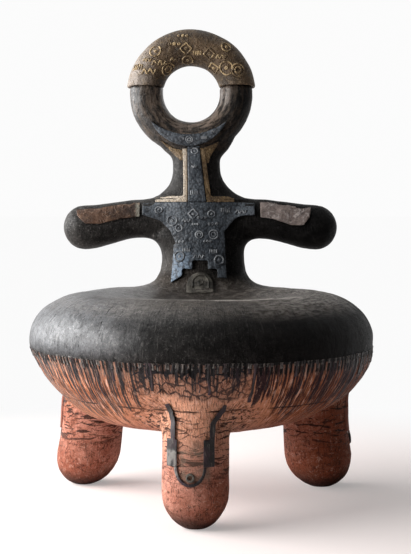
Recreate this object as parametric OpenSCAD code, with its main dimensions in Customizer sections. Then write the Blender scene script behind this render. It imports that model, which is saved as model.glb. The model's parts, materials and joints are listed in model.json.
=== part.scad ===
// Clay chair: a round, hollow seat on three domed legs, with a narrow back
// that is a trunk, two stub arms, a neck and an open ring.
// Every piece is fired clay, set into or onto its neighbour and luted there.
// +Z is up, the sitter faces -Y, and the origin is on the floor below the
// middle of the seat.

/* [Seat] */
// Diameter of the seat at its widest line
seat_d = 616; // [560:1:680]
// Height of the bowl's flat underside above the floor
underside_z = 139; // [120:1:190]
// Height of the widest line above the underside
bowl_h = 154; // [120:1:170]
// How far the bowl's curve reaches in from the widest line
bowl_reach = 180; // [150:1:200]
// Height of the rim's crest above the widest line
rim_h = 80; // [60:1:100]
// How far the rim's curve reaches in from the widest line to the crest
rim_reach = 108; // [95:1:120]
// Depth of the dish below the crest
dish_depth = 24; // [10:1:34]
// Fullness of the bowl's side: 2 is a quarter ellipse, less is leaner
bowl_full = 1.84; // [1.6:0.02:2.2]
// Height of the widest line above the seam between bowl and top
seam_h = 15; // [13:1:54]
// Thickness of the seat's walls
seat_wall = 20; // [16:1:24]
// Height of the tongue that keys the two halves together
tongue_h = 10; // [5:1:14]
// Thickness of that tongue
tongue_t = 9; // [5:1:12]
// Diameter of the firing vent under the bowl
vent_d = 28; // [15:1:40]
// Thickness of the upright slabs that carry the dish inside
rib_t = 14; // [10:1:20]
// Distance from the seat's axis to the inner edge of each slab
rib_in = 36; // [25:1:50]
// Length of each slab, outwards
rib_len = 74; // [50:1:85]

/* [Legs] */
// Diameter of the front leg
front_leg_d = 113; // [95:1:120]
// Diameter of the rear right leg
right_leg_d = 125; // [100:1:126]
// Diameter of the rear left leg
left_leg_d = 121; // [100:1:126]
// Distance in from the widest line to the front leg's axis at its top
front_leg_inset = 76; // [70:1:92]
// The same for the rear right leg
right_leg_inset = 74; // [70:1:92]
// The same for the rear left leg
left_leg_inset = 74; // [70:1:88]
// Angle of the front leg round the seat, from +X
front_leg_at = -92; // [-100:1:-80]
// Angle of the rear right leg
right_leg_at = 26; // [20:1:40]
// Angle of the rear left leg
left_leg_at = 149; // [140:1:160]
// Outward splay of the front leg, in degrees
front_leg_splay = 6; // [0:0.5:8]
// Outward splay of the rear right leg
right_leg_splay = 7; // [0:0.5:9]
// Outward splay of the rear left leg
left_leg_splay = 11; // [4:0.5:12]
// How much less a rear leg's radius is at its top than at its widest
rear_leg_taper = 3; // [0:0.5:8]
// The same for the front leg
front_leg_taper = 0; // [0:0.5:8]
// Height of the domed foot
foot_h = 64; // [40:1:80]
// Diameter of the flat that the leg stands on
foot_flat_d = 38; // [24:1:50]
// Size of the fillet that blends a leg into the bowl
leg_fillet = 24; // [10:1:30]
// Wall of a leg
leg_wall = 16; // [12:1:22]
// Diameter of the spigot on top of a leg
leg_spigot_d = 62; // [50:1:68]
// How far a leg's spigot stands up inside the bowl
leg_spigot_up = 34; // [30:1:40]

/* [Back] */
// Distance in from the widest line to the trunk's axis
back_y = 123; // [108:1:143]
// Sideways place of the trunk's foot
back_x = 3; // [-10:1:10]
// Lean of the back to the rear, in degrees
lean_back = 5; // [0:0.5:9]
// Lean of the back to the left, in degrees
lean_left = 4; // [0:0.5:6]
// Width of the trunk at its waist
waist_w = 158; // [135:1:175]
// Depth of the trunk at its waist
waist_deep = 112; // [98:1:126]
// Size of the fillet that blends the trunk into the seat
trunk_fillet = 47; // [20:1:50]
// Radius of the fillet under each arm
pit_r = 27; // [15:1:40]
// Height of the arms' axis above the crest of the seat, at the trunk
arm_up = 128; // [120:1:160]
// Radius of the fillet between arm and neck
shoulder_r = 60; // [45:1:75]
// Depth of the back at the arms
chest_deep = 100; // [90:1:110]
// Wall of the trunk, arms and neck
back_wall = 13; // [10:1:15]
// Diameter of the spigot under the trunk
trunk_spigot_d = 84; // [70:1:92]
// How far the back's spigots reach into their sockets
spigot_len = 18; // [12:1:22]

/* [Arms] */
// Height of an arm at its root
arm_h = 76; // [70:1:90]
// Depth of an arm at its root
arm_deep = 80; // [70:1:90]
// Diameter of an arm at its bulb
bulb_d = 87; // [80:1:100]
// Reach of each arm from the trunk's axis to its tip
arm_reach = 263; // [230:1:300]
// Droop of an arm's bulb below its root
arm_droop = 17; // [0:1:30]
// Length of the rounded end of an arm
bulb_end = 41; // [30:1:50]

/* [Neck and ring] */
// Width of the neck at its narrowest
neck_w = 91; // [85:1:102]
// Depth of the neck at its narrowest
neck_deep = 76; // [70:1:82]
// Height of the joint of neck and ring above that of neck and trunk
neck_h = 50; // [44:1:70]
// Diameter of the hole in the ring
ring_hole_d = 108; // [90:1:130]
// Thickness of the bare lower part of the ring
ring_t = 65; // [58:1:70]
// Thickness of the ring over its sleeve
sleeve_ring_t = 71; // [67:0.5:76]
// Wall of the sleeve
sleeve_wall = 8; // [5:0.5:10]
// Height of the ring's centre above the joint of neck and ring
ring_up = 134; // [126:1:145]
// Height of the sleeve's lower ends above the ring's centre
sleeve_cut = 12; // [0:1:25]

/* [Applied slabs] */
// Thickness of the slabs laid on the back
slab_t = 5; // [3:0.5:7]
// Thickness of the narrow tan strips and of the slabs on the arms
strip_t = 3.5; // [2:0.5:5]
// Width of the narrow tan strips
strip_w = 9; // [6:0.5:12]
// Width of the slab that climbs the neck
neck_slab_w = 34; // [24:1:40]
// Height of the chest slab's wings
wing_h = 28; // [20:1:34]
// Width of the crescent on the ring, across its middle
crescent_w = 23; // [16:1:30]
// Width of the arched plaque at the trunk's foot
plaque_w = 51; // [30:1:54]
// Thickness of the straps, loops and bosses on the legs
trim_t = 4; // [2:0.5:6]
// Width of a strap's plate
strap_w = 18; // [8:1:20]
// Distance from the middle of a leg's trim to each strap's plate
strap_out = 22; // [20:1:30]
// Outer diameter of the boss on each leg
boss_d = 15; // [10:1:20]

/* [Fits] */
// Clearance round a spigot, in the seam and behind a leg's trim
fit_gap = 0.3; // [0.2:0.05:0.5]
// Slip behind a slab that is laid on the back
slip_gap = 0.6; // [0.5:0.05:0.8]
// Clearance between curved faces that are luted together
lute_gap = 0.4; // [0.3:0.05:0.6]

/* [Hidden] */
$fn = 96;

// Seat profile: two quarter curves that meet at the widest line
seat_r = seat_d / 2;
belly_z = underside_z + bowl_h;
base_r = seat_r - bowl_reach;
crest_r = seat_r - rim_reach;
crest_z = belly_z + rim_h;
seam_z = belly_z - seam_h;
curve_steps = 16;
dish_steps = 12;

// Legs: angle round the seat, diameter, distance of the axis from the seat's
// axis at the top, splay and taper
FRONT = [front_leg_at, front_leg_d, seat_r - front_leg_inset, front_leg_splay,
    front_leg_taper];
RIGHT = [right_leg_at, right_leg_d, seat_r - right_leg_inset, right_leg_splay,
    rear_leg_taper];
LEFT = [left_leg_at, left_leg_d, seat_r - left_leg_inset, left_leg_splay,
    rear_leg_taper];
leg_sides = 28;
side_z = underside_z - leg_fillet - 8;
rim_margin = 4;

// Back
trunk_y = seat_r - back_y;
back_sides = 36;
body_round = 2.3;
web_round = 1.8;
lean_z = crest_z + trunk_fillet;
arm_z = crest_z + arm_up;
arm_low = arm_z - arm_h / 2;
arm_top = arm_z + arm_h / 2;
pit_z = arm_low - pit_r;
neck_z = arm_top + shoulder_r;
joint_z = neck_z - shoulder_r * sin(45);
ring_joint_z = joint_z + neck_h;
ring_z = ring_joint_z + ring_up;
pit_half = waist_w / 2 + pit_r;
shoulder_half = neck_w / 2 + shoulder_r;
stub = 6;
root_x = max(pit_half, shoulder_half) + stub;
hole_r = ring_hole_d / 2;
ring_mid_r = hole_r + ring_t / 2;
sleeve_mid_r = hole_r + sleeve_ring_t / 2;
core_t = sleeve_ring_t - 2 * sleeve_wall;
tube_deep = ring_t / 2;
flare_sink = 8;
flare_out = 5;
flare_soft = 50;
flare_fade = 20;
// Heights of the sections that the back is lofted through, from its foot up
foot_steps = [1, 0.85, 0.7, 0.5, 0.25, 0];
pit_heights = [for (a = [0, 25, 50, 70, 90]) pit_z + pit_r * sin(a)];
shoulder_heights = [for (a = [90, 75, 60, 45]) neck_z - shoulder_r * sin(a)];
neck_heights = [for (i = [0:5]) mix(joint_z, ring_joint_z, i / 5)];
flare_heights = [for (i = [0:7]) mix(ring_joint_z, ring_z - ring_mid_r, i / 7)];
back_heights = concat(
    [lean_z], pit_heights, [arm_z], shoulder_heights,
    [for (i = [1:5]) neck_heights[i]], [for (i = [1:7]) flare_heights[i]]
);
arm_sides = 24;
arm_len = arm_reach - root_x;
bore_y = arm_deep / 2 - back_wall;
bore_z = arm_h / 2 - back_wall;

// Applied slabs
slab_gap = 2;
slab_meet = 0.4;
plaque_rise = 29;
plaque_foot_out = 29;
plaque_foot_up = 4;
crescent_span = 146;
crescent_bow = 26;
crescent_low = 18;
crescent_left = 5;
slab_left = 3;
slab_narrow = 5;
left_strip_out = 22;
right_strip_out = 37;
strip_foot_h = strip_w + 3;
arm_slab_steps = 7;
arm_slab_over = -24;
left_slab_short = 27;
right_slab_short = 52;
left_slab_low = 5;
right_slab_low = 4;
left_slab_dip = 14;
right_slab_dip = 16;
arm_slab_top = round(arm_sides * 0.39);
arm_slab_front = round(arm_sides * 0.93);
chest_top = arm_z + 32;
chest_x = back_x - (arm_z - lean_z) * tan(lean_left);
wing_x = root_x - 2;
body_x = waist_w / 2 - 25;
tab_z = crest_z + 8;
notch_in = 14;
notch_out = 33;
step_z = crest_z + 35;
notch_z = step_z + 16;
neck_slab_top = ring_z - ring_mid_r - crescent_low - slab_meet;

// Trim on the legs
trim_shift = -7;
trim_reach = 4;
trim_low = foot_h + 6;
plate_up = 44;
plate_len = 44;
tail_w = 8;
tail_up = 54;
tail_sweep = 22;
plate_z0 = foot_h + plate_up;
plate_z1 = plate_z0 + plate_len;
loop_gap = 0.5;
loop_w = 5;
loop_low = 6;
far = 400;

clay_black = "#2b2826";
clay_terracotta = "#b0674a";
clay_inner = "#8a6a55";
clay_bronze = "#7a6444";
clay_slate = "#3a424b";
clay_tan = "#a8875c";

// The height of the seat's upper face at a distance r from its axis
function top_z(r) =
    r >= seat_r ? belly_z :
    r >= crest_r ? belly_z + rim_h * sqrt(1 - pow((r - crest_r) / rim_reach, 2)) :
    crest_z - dish_depth * (1 + cos(180 * r / crest_r)) / 2;

// The height of the bowl's outer face at a distance r from the axis
function bowl_z(r) =
    r >= seat_r ? belly_z :
    r <= base_r ? underside_z :
    belly_z - bowl_h * pow(1 - pow((r - base_r) / bowl_reach, bowl_full), 1 / bowl_full);

// The bowl's side, a quarter of a lean ellipse, inset by a wall, between two
// angles
function bowl_arc(inset, a0, a1) = [
    for (i = [0:curve_steps])
        let (a = a0 + (a1 - a0) * i / curve_steps)
        [base_r + (bowl_reach - inset) * pow(cos(a), 2 / bowl_full),
         belly_z - (bowl_h - inset) * pow(sin(a), 2 / bowl_full)]
];

// The upper quarter ellipse, inset by a wall, between two angles
function rim_arc(inset, a0, a1) = [
    for (i = [0:curve_steps])
        let (a = a0 + (a1 - a0) * i / curve_steps)
        [crest_r + (rim_reach - inset) * cos(a), belly_z + (rim_h - inset) * sin(a)]
];

// The dish from radius r0 to r1, lowered by a wall
function dish_arc(inset, r0, r1) = [
    for (i = [0:dish_steps])
        let (r = r0 + (r1 - r0) * i / dish_steps)
        [r, top_z(r) - inset]
];

// Angle on the bowl's side, inset by a wall, at height z
function bowl_angle(inset, z) =
    asin(pow((belly_z - z) / (bowl_h - inset), bowl_full / 2));
function bowl_wall_r(inset, z) =
    base_r + (bowl_reach - inset) * pow(cos(bowl_angle(inset, z)), 2 / bowl_full);

tongue_in = bowl_wall_r(seat_wall, seam_z);
tongue_out = tongue_in + tongue_t;
rebate_z = seam_z + tongue_h + fit_gap;

module seat_bowl() {
    color(clay_terracotta)
    difference() {
        rotate_extrude()
            polygon(concat(
                [[vent_d / 2, underside_z]],
                bowl_arc(0, 90, bowl_angle(0, seam_z)),
                [[tongue_out, seam_z], [tongue_out, seam_z + tongue_h],
                 [tongue_in, seam_z + tongue_h]],
                bowl_arc(seat_wall, bowl_angle(seat_wall, seam_z), 90),
                [[vent_d / 2, underside_z + seat_wall]]
            ));
        for (leg = [FRONT, RIGHT, LEFT])
            rotate([0, 0, leg[0]])
            translate([leg[2], 0, underside_z - seat_wall])
                cylinder(d = leg_spigot_d + 2 * fit_gap, h = bowl_h + seat_wall / 2);
    }
}

module seat_top() {
    color(clay_black)
    difference() {
        rotate_extrude()
            polygon(concat(
                bowl_arc(0, bowl_angle(0, seam_z), 0),
                rim_arc(0, 90 / curve_steps, 90),
                dish_arc(0, crest_r * (1 - 1 / dish_steps), 0),
                dish_arc(seat_wall, 0, crest_r * (1 - 1 / dish_steps)),
                rim_arc(seat_wall, 90, 90 / curve_steps),
                bowl_arc(seat_wall, 0, bowl_angle(seat_wall, rebate_z)),
                [[tongue_out + fit_gap, rebate_z], [tongue_out + fit_gap, seam_z]]
            ));
        translate([back_x, trunk_y, belly_z])
            cylinder(d = trunk_spigot_d + 2 * fit_gap, h = rim_h + seat_wall);
    }
}

// An upright slab between the bowl's floor and the underside of the dish
module rib(angle) {
    floor_z = underside_z + seat_wall;
    steps = 6;
    color(clay_inner)
    rotate([0, 0, angle])
    rotate([90, 0, 0])
    translate([0, 0, -rib_t / 2])
    linear_extrude(rib_t)
        polygon(concat(
            [[rib_in, floor_z], [rib_in + rib_len, floor_z]],
            [for (i = [steps:-1:0])
                let (r = rib_in + rib_len * i / steps)
                [r, top_z(r) - seat_wall - lute_gap]]
        ));
}

module rib_front() { rib(front_leg_at); }
module rib_rear_right() { rib(right_leg_at); }
module rib_rear_left() { rib(left_leg_at); }

// One triangle mesh through a list of rings, closed by a fan at each end, or
// joined from the last ring to the first
module skin(rings, loop = false) {
    n = len(rings[0]);
    m = len(rings);
    mid0 = [for (k = [0:2]) ring_mean(rings[0], k)];
    mid1 = [for (k = [0:2]) ring_mean(rings[m - 1], k)];
    last = loop ? m - 1 : m - 2;
    sides = [
        for (i = [0:last], j = [0:n - 1])
            let (a = i * n + j, b = i * n + (j + 1) % n)
            let (d = ((i + 1) % m) * n + j, c = ((i + 1) % m) * n + (j + 1) % n)
            for (f = [[a, d, c], [a, c, b]]) f
    ];
    caps = loop ? [] : [
        for (j = [0:n - 1])
            for (f = [[m * n, j, (j + 1) % n],
                      [m * n + 1, (m - 1) * n + (j + 1) % n, (m - 1) * n + j]]) f
    ];
    polyhedron(
        points = concat([for (r = rings) each r], loop ? [] : [mid0, mid1]),
        faces = concat(sides, caps),
        convexity = 6
    );
}

function ring_mean(ring, k) = [for (p = ring) p[k]] * [for (p = ring) 1] / len(ring);

// Points of a rounded oval with half sizes w and h. A power of 2 is an ellipse.
function spow(v, e) = sign(v) * pow(abs(v), e);
function oval(w, h, n, power = 2) = [
    for (j = [0:n - 1])
        let (a = 360 * j / n)
        [w * spow(cos(a), 2 / power), h * spow(sin(a), 2 / power)]
];
function lift(points, z, x = 0, y = 0) = [for (p = points) [p[0] + x, p[1] + y, z]];
function mix(a, b, t) = a + (b - a) * t;

// Radius of a leg at height z, without its fillet
function foot_mid_z(r) = foot_h * sqrt(1 - pow(foot_flat_d / 2 / r, 2));
function leg_r_at(r, z) =
    let (zc = foot_mid_z(r))
    z < zc ? r * sqrt(1 - pow((zc - z) / foot_h, 2)) :
    r - $taper * (1 - cos(180 * min(1, (z - zc) / (underside_z - zc)))) / 2;
// How far out a leg's splay carries it at height z. Each leg sets $splay and
// $taper.
function leg_shift(z) = max(0, underside_z - z) * tan($splay);

// A leg stands at +X of the seat's axis in its own frame, out at a distance
function leg_point(out, j, rho) = [
    out + rho * cos(360 * j / leg_sides), rho * sin(360 * j / leg_sides)
];
function saddle_z(p) = bowl_z(norm(p)) - lute_gap;

// The fillet from the leg's side, at t = 0, to the bowl's face, at t = 1
function leg_fillet_ring(out, r, t) = [
    for (j = [0:leg_sides - 1])
        let (root = leg_point(out, j, r - $taper))
        let (k = max(rim_margin, min(leg_fillet, seat_r - rim_margin - norm(root))))
        let (p = leg_point(out, j, r - $taper + k * t * t))
        let (z = saddle_z(p) - k * pow(1 - t, 2))
        [p[0] + leg_shift(z), p[1], z]
];

// Rings across the leg's top, which lies on the bowl
function leg_saddle_ring(out, r, t) =
    let (edge = leg_fillet_ring(out, r, 1))
    [
        for (j = [0:leg_sides - 1])
            let (q = leg_point(out, j, leg_spigot_d / 2))
            let (p = [mix(edge[j][0], q[0], t), mix(edge[j][1], q[1], t)])
            [p[0], p[1], saddle_z(p)]
    ];

function leg_disc(out, rho, z) =
    [for (j = [0:leg_sides - 1])
        let (p = leg_point(out, j, rho))
        [p[0] + leg_shift(z), p[1], z]];

module leg(place) {
    r = place[1] / 2;
    out = place[2];
    zc = foot_mid_z(r);
    dome_steps = 5;
    a0 = acos(foot_flat_d / place[1]);
    mid_z = mix(zc, side_z, 0.5);
    spigot_z = bowl_z(out) + leg_spigot_up;
    bore_r = leg_spigot_d / 2 - leg_wall / 2;
    inner_r = r - leg_wall;
    $splay = place[3];
    $taper = place[4];
    color(clay_terracotta)
    rotate([0, 0, place[0]])
    skin(concat(
        [leg_disc(out, foot_flat_d / 2, 0)],
        [for (i = [1:dome_steps])
            let (a = a0 * (1 - i / dome_steps))
            leg_disc(out, r * cos(a), zc - foot_h * sin(a))],
        [leg_disc(out, leg_r_at(r, mid_z), mid_z), leg_disc(out, leg_r_at(r, side_z), side_z)],
        [for (t = [0, 0.4, 0.7, 1]) leg_fillet_ring(out, r, t)],
        [for (t = [0.33, 0.66, 1]) leg_saddle_ring(out, r, t)],
        [leg_disc(out, leg_spigot_d / 2, spigot_z), leg_disc(out, bore_r, spigot_z)],
        [leg_disc(out, bore_r, underside_z), leg_disc(out, inner_r - $taper, side_z),
         leg_disc(out, inner_r, zc)],
        [for (a = [40, 70])
            leg_disc(out, inner_r * cos(a), zc - (foot_h - leg_wall) * sin(a))]
    ));
}

module front_leg() { leg(FRONT); }
module rear_right_leg() { leg(RIGHT); }
module rear_left_leg() { leg(LEFT); }

// Centre line of the back, upright in its foot and leaning above it
function back_cx(z) = back_x - max(0, z - lean_z) * tan(lean_left);
function back_cy(z) = trunk_y + max(0, z - lean_z) * tan(lean_back);

// Larger of two values with a soft corner k wide
function soft_max(a, b, k) = max(a, b) + pow(max(k - abs(a - b), 0), 2) / (4 * k);
function ring_half(z) =
    let (dz = ring_z - z)
    let (r = hole_r + ring_t + flare_out * smooth((dz - ring_mid_r) / flare_fade))
    abs(dz) >= r ? 0 : sqrt(r * r - dz * dz);

// Half width and half depth of the back at height z above its foot
function smooth(t) = t <= 0 ? 0 : t >= 1 ? 1 : t * t * (3 - 2 * t);
function back_half(z) =
    z < pit_z ? waist_w / 2 :
    z < arm_low ? pit_half - sqrt(pow(pit_r, 2) - pow(z - pit_z, 2)) :
    z < arm_top ? mix(pit_half, shoulder_half, (z - arm_low) / arm_h) :
    z < neck_z ? shoulder_half - sqrt(pow(shoulder_r, 2) - pow(neck_z - z, 2)) :
    soft_max(neck_w / 2, ring_half(z) - (ring_z - z) * tan(lean_left), flare_soft);
function back_depth(z) =
    let (a = mix(waist_deep, chest_deep, smooth((z - lean_z) / (arm_z - lean_z))) / 2)
    let (b = mix(a, neck_deep / 2, smooth((z - arm_z) / (ring_joint_z - arm_z))))
    mix(b, tube_deep - flare_sink,
        smooth(1.3 * (z - ring_joint_z) / (ring_z - ring_mid_r - ring_joint_z)));

// The section is a rounded box, but a lens where the width runs out in fillets
// below, above and inside the arms
function back_round(z) =
    let (core = mix(waist_w, neck_w, smooth((z - pit_z) / (neck_z - pit_z))) / 2)
    z > neck_z ? body_round :
    mix(body_round, web_round, smooth((back_half(z) - core) / pit_r));
function back_ring(z) = lift(
    oval(back_half(z), back_depth(z), back_sides, back_round(z)),
    z, back_cx(z), back_cy(z)
);

// The trunk's foot: t = 0 at the waist, t = 1 where it lies out on the seat
function seat_at(x, y) = top_z(norm([x, y])) + lute_gap;
function foot_ring(t) =
    let (grow = trunk_fillet * t * t)
    [for (p = oval(waist_w / 2 + grow, waist_deep / 2 + grow, back_sides, body_round))
        let (x = p[0] + back_x, y = p[1] + trunk_y)
        [x, y, seat_at(x, y) + trunk_fillet * pow(1 - t, 2)]];
function foot_saddle_ring(t) =
    let (edge = foot_ring(1))
    let (hub = oval(trunk_spigot_d / 2, trunk_spigot_d / 2, back_sides))
    [for (j = [0:back_sides - 1])
        let (x = mix(hub[j][0] + back_x, edge[j][0], t))
        let (y = mix(hub[j][1] + trunk_y, edge[j][1], t))
        [x, y, seat_at(x, y)]];

trunk_spigot_z = crest_z - seat_wall - spigot_len;
function trunk_rings() = concat(
    [lift(oval(trunk_spigot_d / 2, trunk_spigot_d / 2, back_sides),
        trunk_spigot_z, back_x, trunk_y)],
    [for (t = [0, 0.2, 0.4, 0.6, 0.8, 1]) foot_saddle_ring(t)],
    [for (i = [1:len(foot_steps) - 1]) foot_ring(foot_steps[i])],
    [for (z = concat(pit_heights, [arm_z], shoulder_heights)) back_ring(z)]
);

// The neck's socket in the top of the trunk
function socket(z, grow) = lift(
    oval(back_half(joint_z) - back_wall + grow, back_depth(joint_z) - back_wall + grow,
        back_sides, body_round),
    z, back_cx(joint_z), back_cy(joint_z)
);
module trunk_hollow() {
    w = waist_w / 2 - back_wall;
    h = waist_deep / 2 - back_wall;
    bore = trunk_spigot_d / 2 - back_wall;
    socket_z = joint_z - spigot_len - fit_gap;
    skin([
        lift(oval(bore, bore, back_sides), trunk_spigot_z - 1, back_x, trunk_y),
        lift(oval(bore, bore, back_sides), crest_z + back_wall, back_x, trunk_y),
        lift(oval(w, h, back_sides, body_round), lean_z, back_x, trunk_y),
        lift(oval(w, h - 4, back_sides, body_round), arm_low, back_cx(arm_low),
            back_cy(arm_low)),
        socket(socket_z, 0),
        socket(joint_z + 1, 0)
    ]);
}

// A straight oval bar through the trunk, from one arm's root to the other's
module arm_bar(half_y, half_z, over) {
    translate([back_cx(arm_z), back_cy(arm_z), arm_z])
    rotate([0, 90, 0])
        skin([
            lift(oval(half_z, half_y, arm_sides), -root_x - over),
            lift(oval(half_z, half_y, arm_sides), root_x + over)
        ]);
}

module trunk() {
    color(clay_black)
    difference() {
        union() {
            skin(trunk_rings());
            arm_bar(arm_deep / 2, arm_h / 2, 0);
        }
        trunk_hollow();
        arm_bar(bore_y, bore_z, 1);
    }
}

// An arm in its own frame: +Z runs out from its root and +X is down
function arm_grow(s) = smooth(s / (arm_len - bulb_end));
function arm_sag(s) = arm_droop * arm_grow(s);
function arm_ring(s, inset = 0) =
    let (end = max(0, s - (arm_len - bulb_end)) / (bulb_end - inset))
    let (cap = sqrt(max(0, 1 - end * end)))
    lift(oval((mix(arm_h, bulb_d, arm_grow(s)) / 2 - inset) * cap,
              (mix(arm_deep, bulb_d, arm_grow(s)) / 2 - inset) * cap, arm_sides),
        s, arm_sag(s));
function arm_end(u, inset) = arm_len - bulb_end + (bulb_end - inset) * u;

module arm(side) {
    straight = arm_len - bulb_end;
    inset = back_wall + fit_gap;
    color(clay_black)
    translate([back_cx(arm_z), back_cy(arm_z), arm_z])
    mirror([side < 0 ? 1 : 0, 0, 0])
    translate([root_x, 0, 0])
    rotate([0, 90, 0])
        skin(concat(
            [for (a = [10, 40, 70]) arm_ring(arm_end(cos(a), inset), inset)],
            [for (i = [4:-1:1]) arm_ring(straight * i / 4, inset)],
            [lift(oval(bore_z - fit_gap - back_wall / 2, bore_y - fit_gap - back_wall / 2,
                arm_sides), -spigot_len),
             lift(oval(bore_z - fit_gap, bore_y - fit_gap, arm_sides), -spigot_len),
             lift(oval(bore_z - fit_gap, bore_y - fit_gap, arm_sides), 0)],
            [for (i = [0:6]) arm_ring(straight * i / 6)],
            [for (a = [72, 54, 38, 22, 8]) arm_ring(arm_end(cos(a), 0))]
        ));
}

module left_arm() { arm(-1); }
module right_arm() { arm(1); }

// The neck: a tube with a spigot below and a socket above
module neck() {
    bore_w = neck_w / 2 - back_wall;
    bore_d = neck_deep / 2 - back_wall;
    tx = back_cx(ring_joint_z);
    ty = back_cy(ring_joint_z);
    thin = back_wall / 2;
    color(clay_black)
    skin(concat(
        [for (z = neck_heights) back_ring(z)],
        [lift(oval(bore_w, bore_d, back_sides, body_round), ring_joint_z, tx, ty),
         lift(oval(bore_w, bore_d, back_sides, body_round),
            ring_joint_z - spigot_len - fit_gap, tx, ty),
         socket(joint_z - spigot_len, -thin),
         socket(joint_z - spigot_len, -fit_gap),
         socket(joint_z, -fit_gap)]
    ), loop = true);
}

// A ring of round section that stands in the back's leaning plane
module at_ring() {
    translate([back_cx(ring_z), back_cy(ring_z), ring_z])
    rotate([-lean_back, 0, 0])
        children();
}
module torus(mid_r, thick) {
    rotate([90, 0, 0])
    rotate_extrude()
    translate([mid_r, 0])
        circle(d = thick);
}
module above_cut(up) {
    translate([-far / 2, -far / 2, up])
        cube([far, far, far]);
}

module head_ring() {
    bore_w = neck_w / 2 - back_wall - fit_gap;
    bore_d = neck_deep / 2 - back_wall - fit_gap;
    tx = back_cx(ring_joint_z);
    ty = back_cy(ring_joint_z);
    color(clay_black)
    union() {
        at_ring() {
            difference() {
                torus(ring_mid_r, ring_t);
                above_cut(sleeve_cut);
            }
            torus(sleeve_mid_r, core_t - 2 * fit_gap);
        }
        skin(concat(
            [lift(oval(bore_w, bore_d, back_sides, body_round),
                ring_joint_z - spigot_len, tx, ty),
             lift(oval(bore_w, bore_d, back_sides, body_round), ring_joint_z, tx, ty)],
            [for (z = flare_heights) back_ring(z)]
        ));
    }
}

module ring_sleeve() {
    color(clay_bronze)
    at_ring()
    intersection() {
        difference() {
            torus(sleeve_mid_r, sleeve_ring_t);
            torus(sleeve_mid_r, core_t);
        }
        above_cut(sleeve_cut);
    }
}

// The front face of the back, as y at a place x, z, straight between sections
function oval_y(x, w, d, power) =
    abs(x) >= w ? 0 : d * pow(1 - pow(abs(x) / w, power), 1 / power);
function column_y(x, z) =
    back_cy(z) - oval_y(x - back_cx(z), back_half(z), back_depth(z), back_round(z));
function bar_y(z) =
    back_cy(arm_z) - oval_y(z - arm_z, arm_h / 2, arm_deep / 2, 2);
foot_table = [for (t = foot_steps) [trunk_fillet * pow(1 - t, 2), trunk_fillet * t * t]];
function foot_y(x, z, turns, y) =
    turns == 0 ? y :
    let (grow = lookup(max(0, z - seat_at(x, y)), foot_table))
    foot_y(x, z, turns - 1, trunk_y
        - oval_y(x - back_x, waist_w / 2 + grow, waist_deep / 2 + grow, body_round));
function front_y(x, z) =
    let (y = z < lean_z ? foot_y(x, z, 6, trunk_y - waist_deep / 2) :
        lookup(z, [for (h = back_heights) [h, column_y(x, h)]]))
    abs(z - arm_z) < arm_h / 2 ? min(y, bar_y(z)) : y;

// A sheet with an outer and an inner face, each a list of rows of points. Seen
// from outside, rows go up and points go to the right.
module sheet(outer, inner) {
    w = len(outer[0]);
    rows = len(outer);
    size = w * rows;
    rim = concat(
        [for (i = [0:w - 2]) i],
        [for (j = [0:rows - 2]) j * w + w - 1],
        [for (i = [w - 1:-1:1]) (rows - 1) * w + i],
        [for (j = [rows - 1:-1:1]) j * w]
    );
    polyhedron(
        points = concat([for (r = outer) each r], [for (r = inner) each r]),
        faces = concat(
            [for (j = [0:rows - 2], i = [0:w - 2])
                let (a = j * w + i)
                for (f = [[a, a + w, a + w + 1], [a, a + w + 1, a + 1]]) f],
            [for (j = [0:rows - 2], i = [0:w - 2])
                let (a = size + j * w + i)
                for (f = [[a, a + w + 1, a + w], [a, a + 1, a + w + 1]]) f],
            [for (i = [0:len(rim) - 1])
                let (a = rim[i], b = rim[(i + 1) % len(rim)])
                for (f = [[a, b, b + size], [a, b + size, a + size]]) f]
        ),
        convexity = 6
    );
}

// A slab of thickness t over the front of the back, cut to the outline given
// as a child, which is drawn in x and z
function row_heights(z0, z1, cell) =
    let (stops = concat([z0], [for (h = back_heights) if (h > z0 && h < z1) h], [z1]))
    concat([z0], [
        for (k = [1:len(stops) - 1])
            let (n = ceil((stops[k] - stops[k - 1]) / cell))
            for (i = [1:n]) mix(stops[k - 1], stops[k], i / n)
    ]);
function front_rows(x0, x1, z0, z1, cell, over) =
    let (nx = ceil((x1 - x0) / cell))
    [for (z = row_heights(z0, z1, cell))
        [for (i = [0:nx])
            let (x = mix(x0, x1, i / nx))
            [x, front_y(x, z) - over, z]]];
module front_slab(x0, x1, z0, z1, t, cell = 10) {
    intersection() {
        sheet(front_rows(x0 - 1, x1 + 1, z0 - 1, z1 + 1, cell, slip_gap + t),
            front_rows(x0 - 1, x1 + 1, z0 - 1, z1 + 1, cell, slip_gap));
        translate([0, far, 0])
        rotate([90, 0, 0])
        linear_extrude(2 * far)
            children();
    }
}

// The chest slab: two wings along the arms and a body that steps down to a
// notch for the plaque
module chest_slab() {
    low = chest_top - wing_h;
    color(clay_slate)
    front_slab(chest_x - wing_x, chest_x + wing_x, tab_z, chest_top, slab_t)
        translate([chest_x, 0])
        polygon([
            [-wing_x, chest_top], [-wing_x, low + 4], [-body_x - 22, low - 7],
            [-body_x - 2, low - 27], [-body_x + 8, low - 50], [-body_x + 4, low - 51],
            [-body_x - 2, tab_z], [-notch_out, tab_z + 14], [-notch_out, step_z],
            [-notch_in, step_z], [-notch_in, notch_z], [notch_in, notch_z],
            [notch_in, step_z], [notch_out, step_z], [notch_out, tab_z + 11],
            [body_x - 3, tab_z + 9], [body_x - 7, low - 27], [body_x + 13, low - 3],
            [body_x + 24, low + 2], [wing_x - 6, low + 3], [wing_x - 6, chest_top]
        ]);
}

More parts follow.
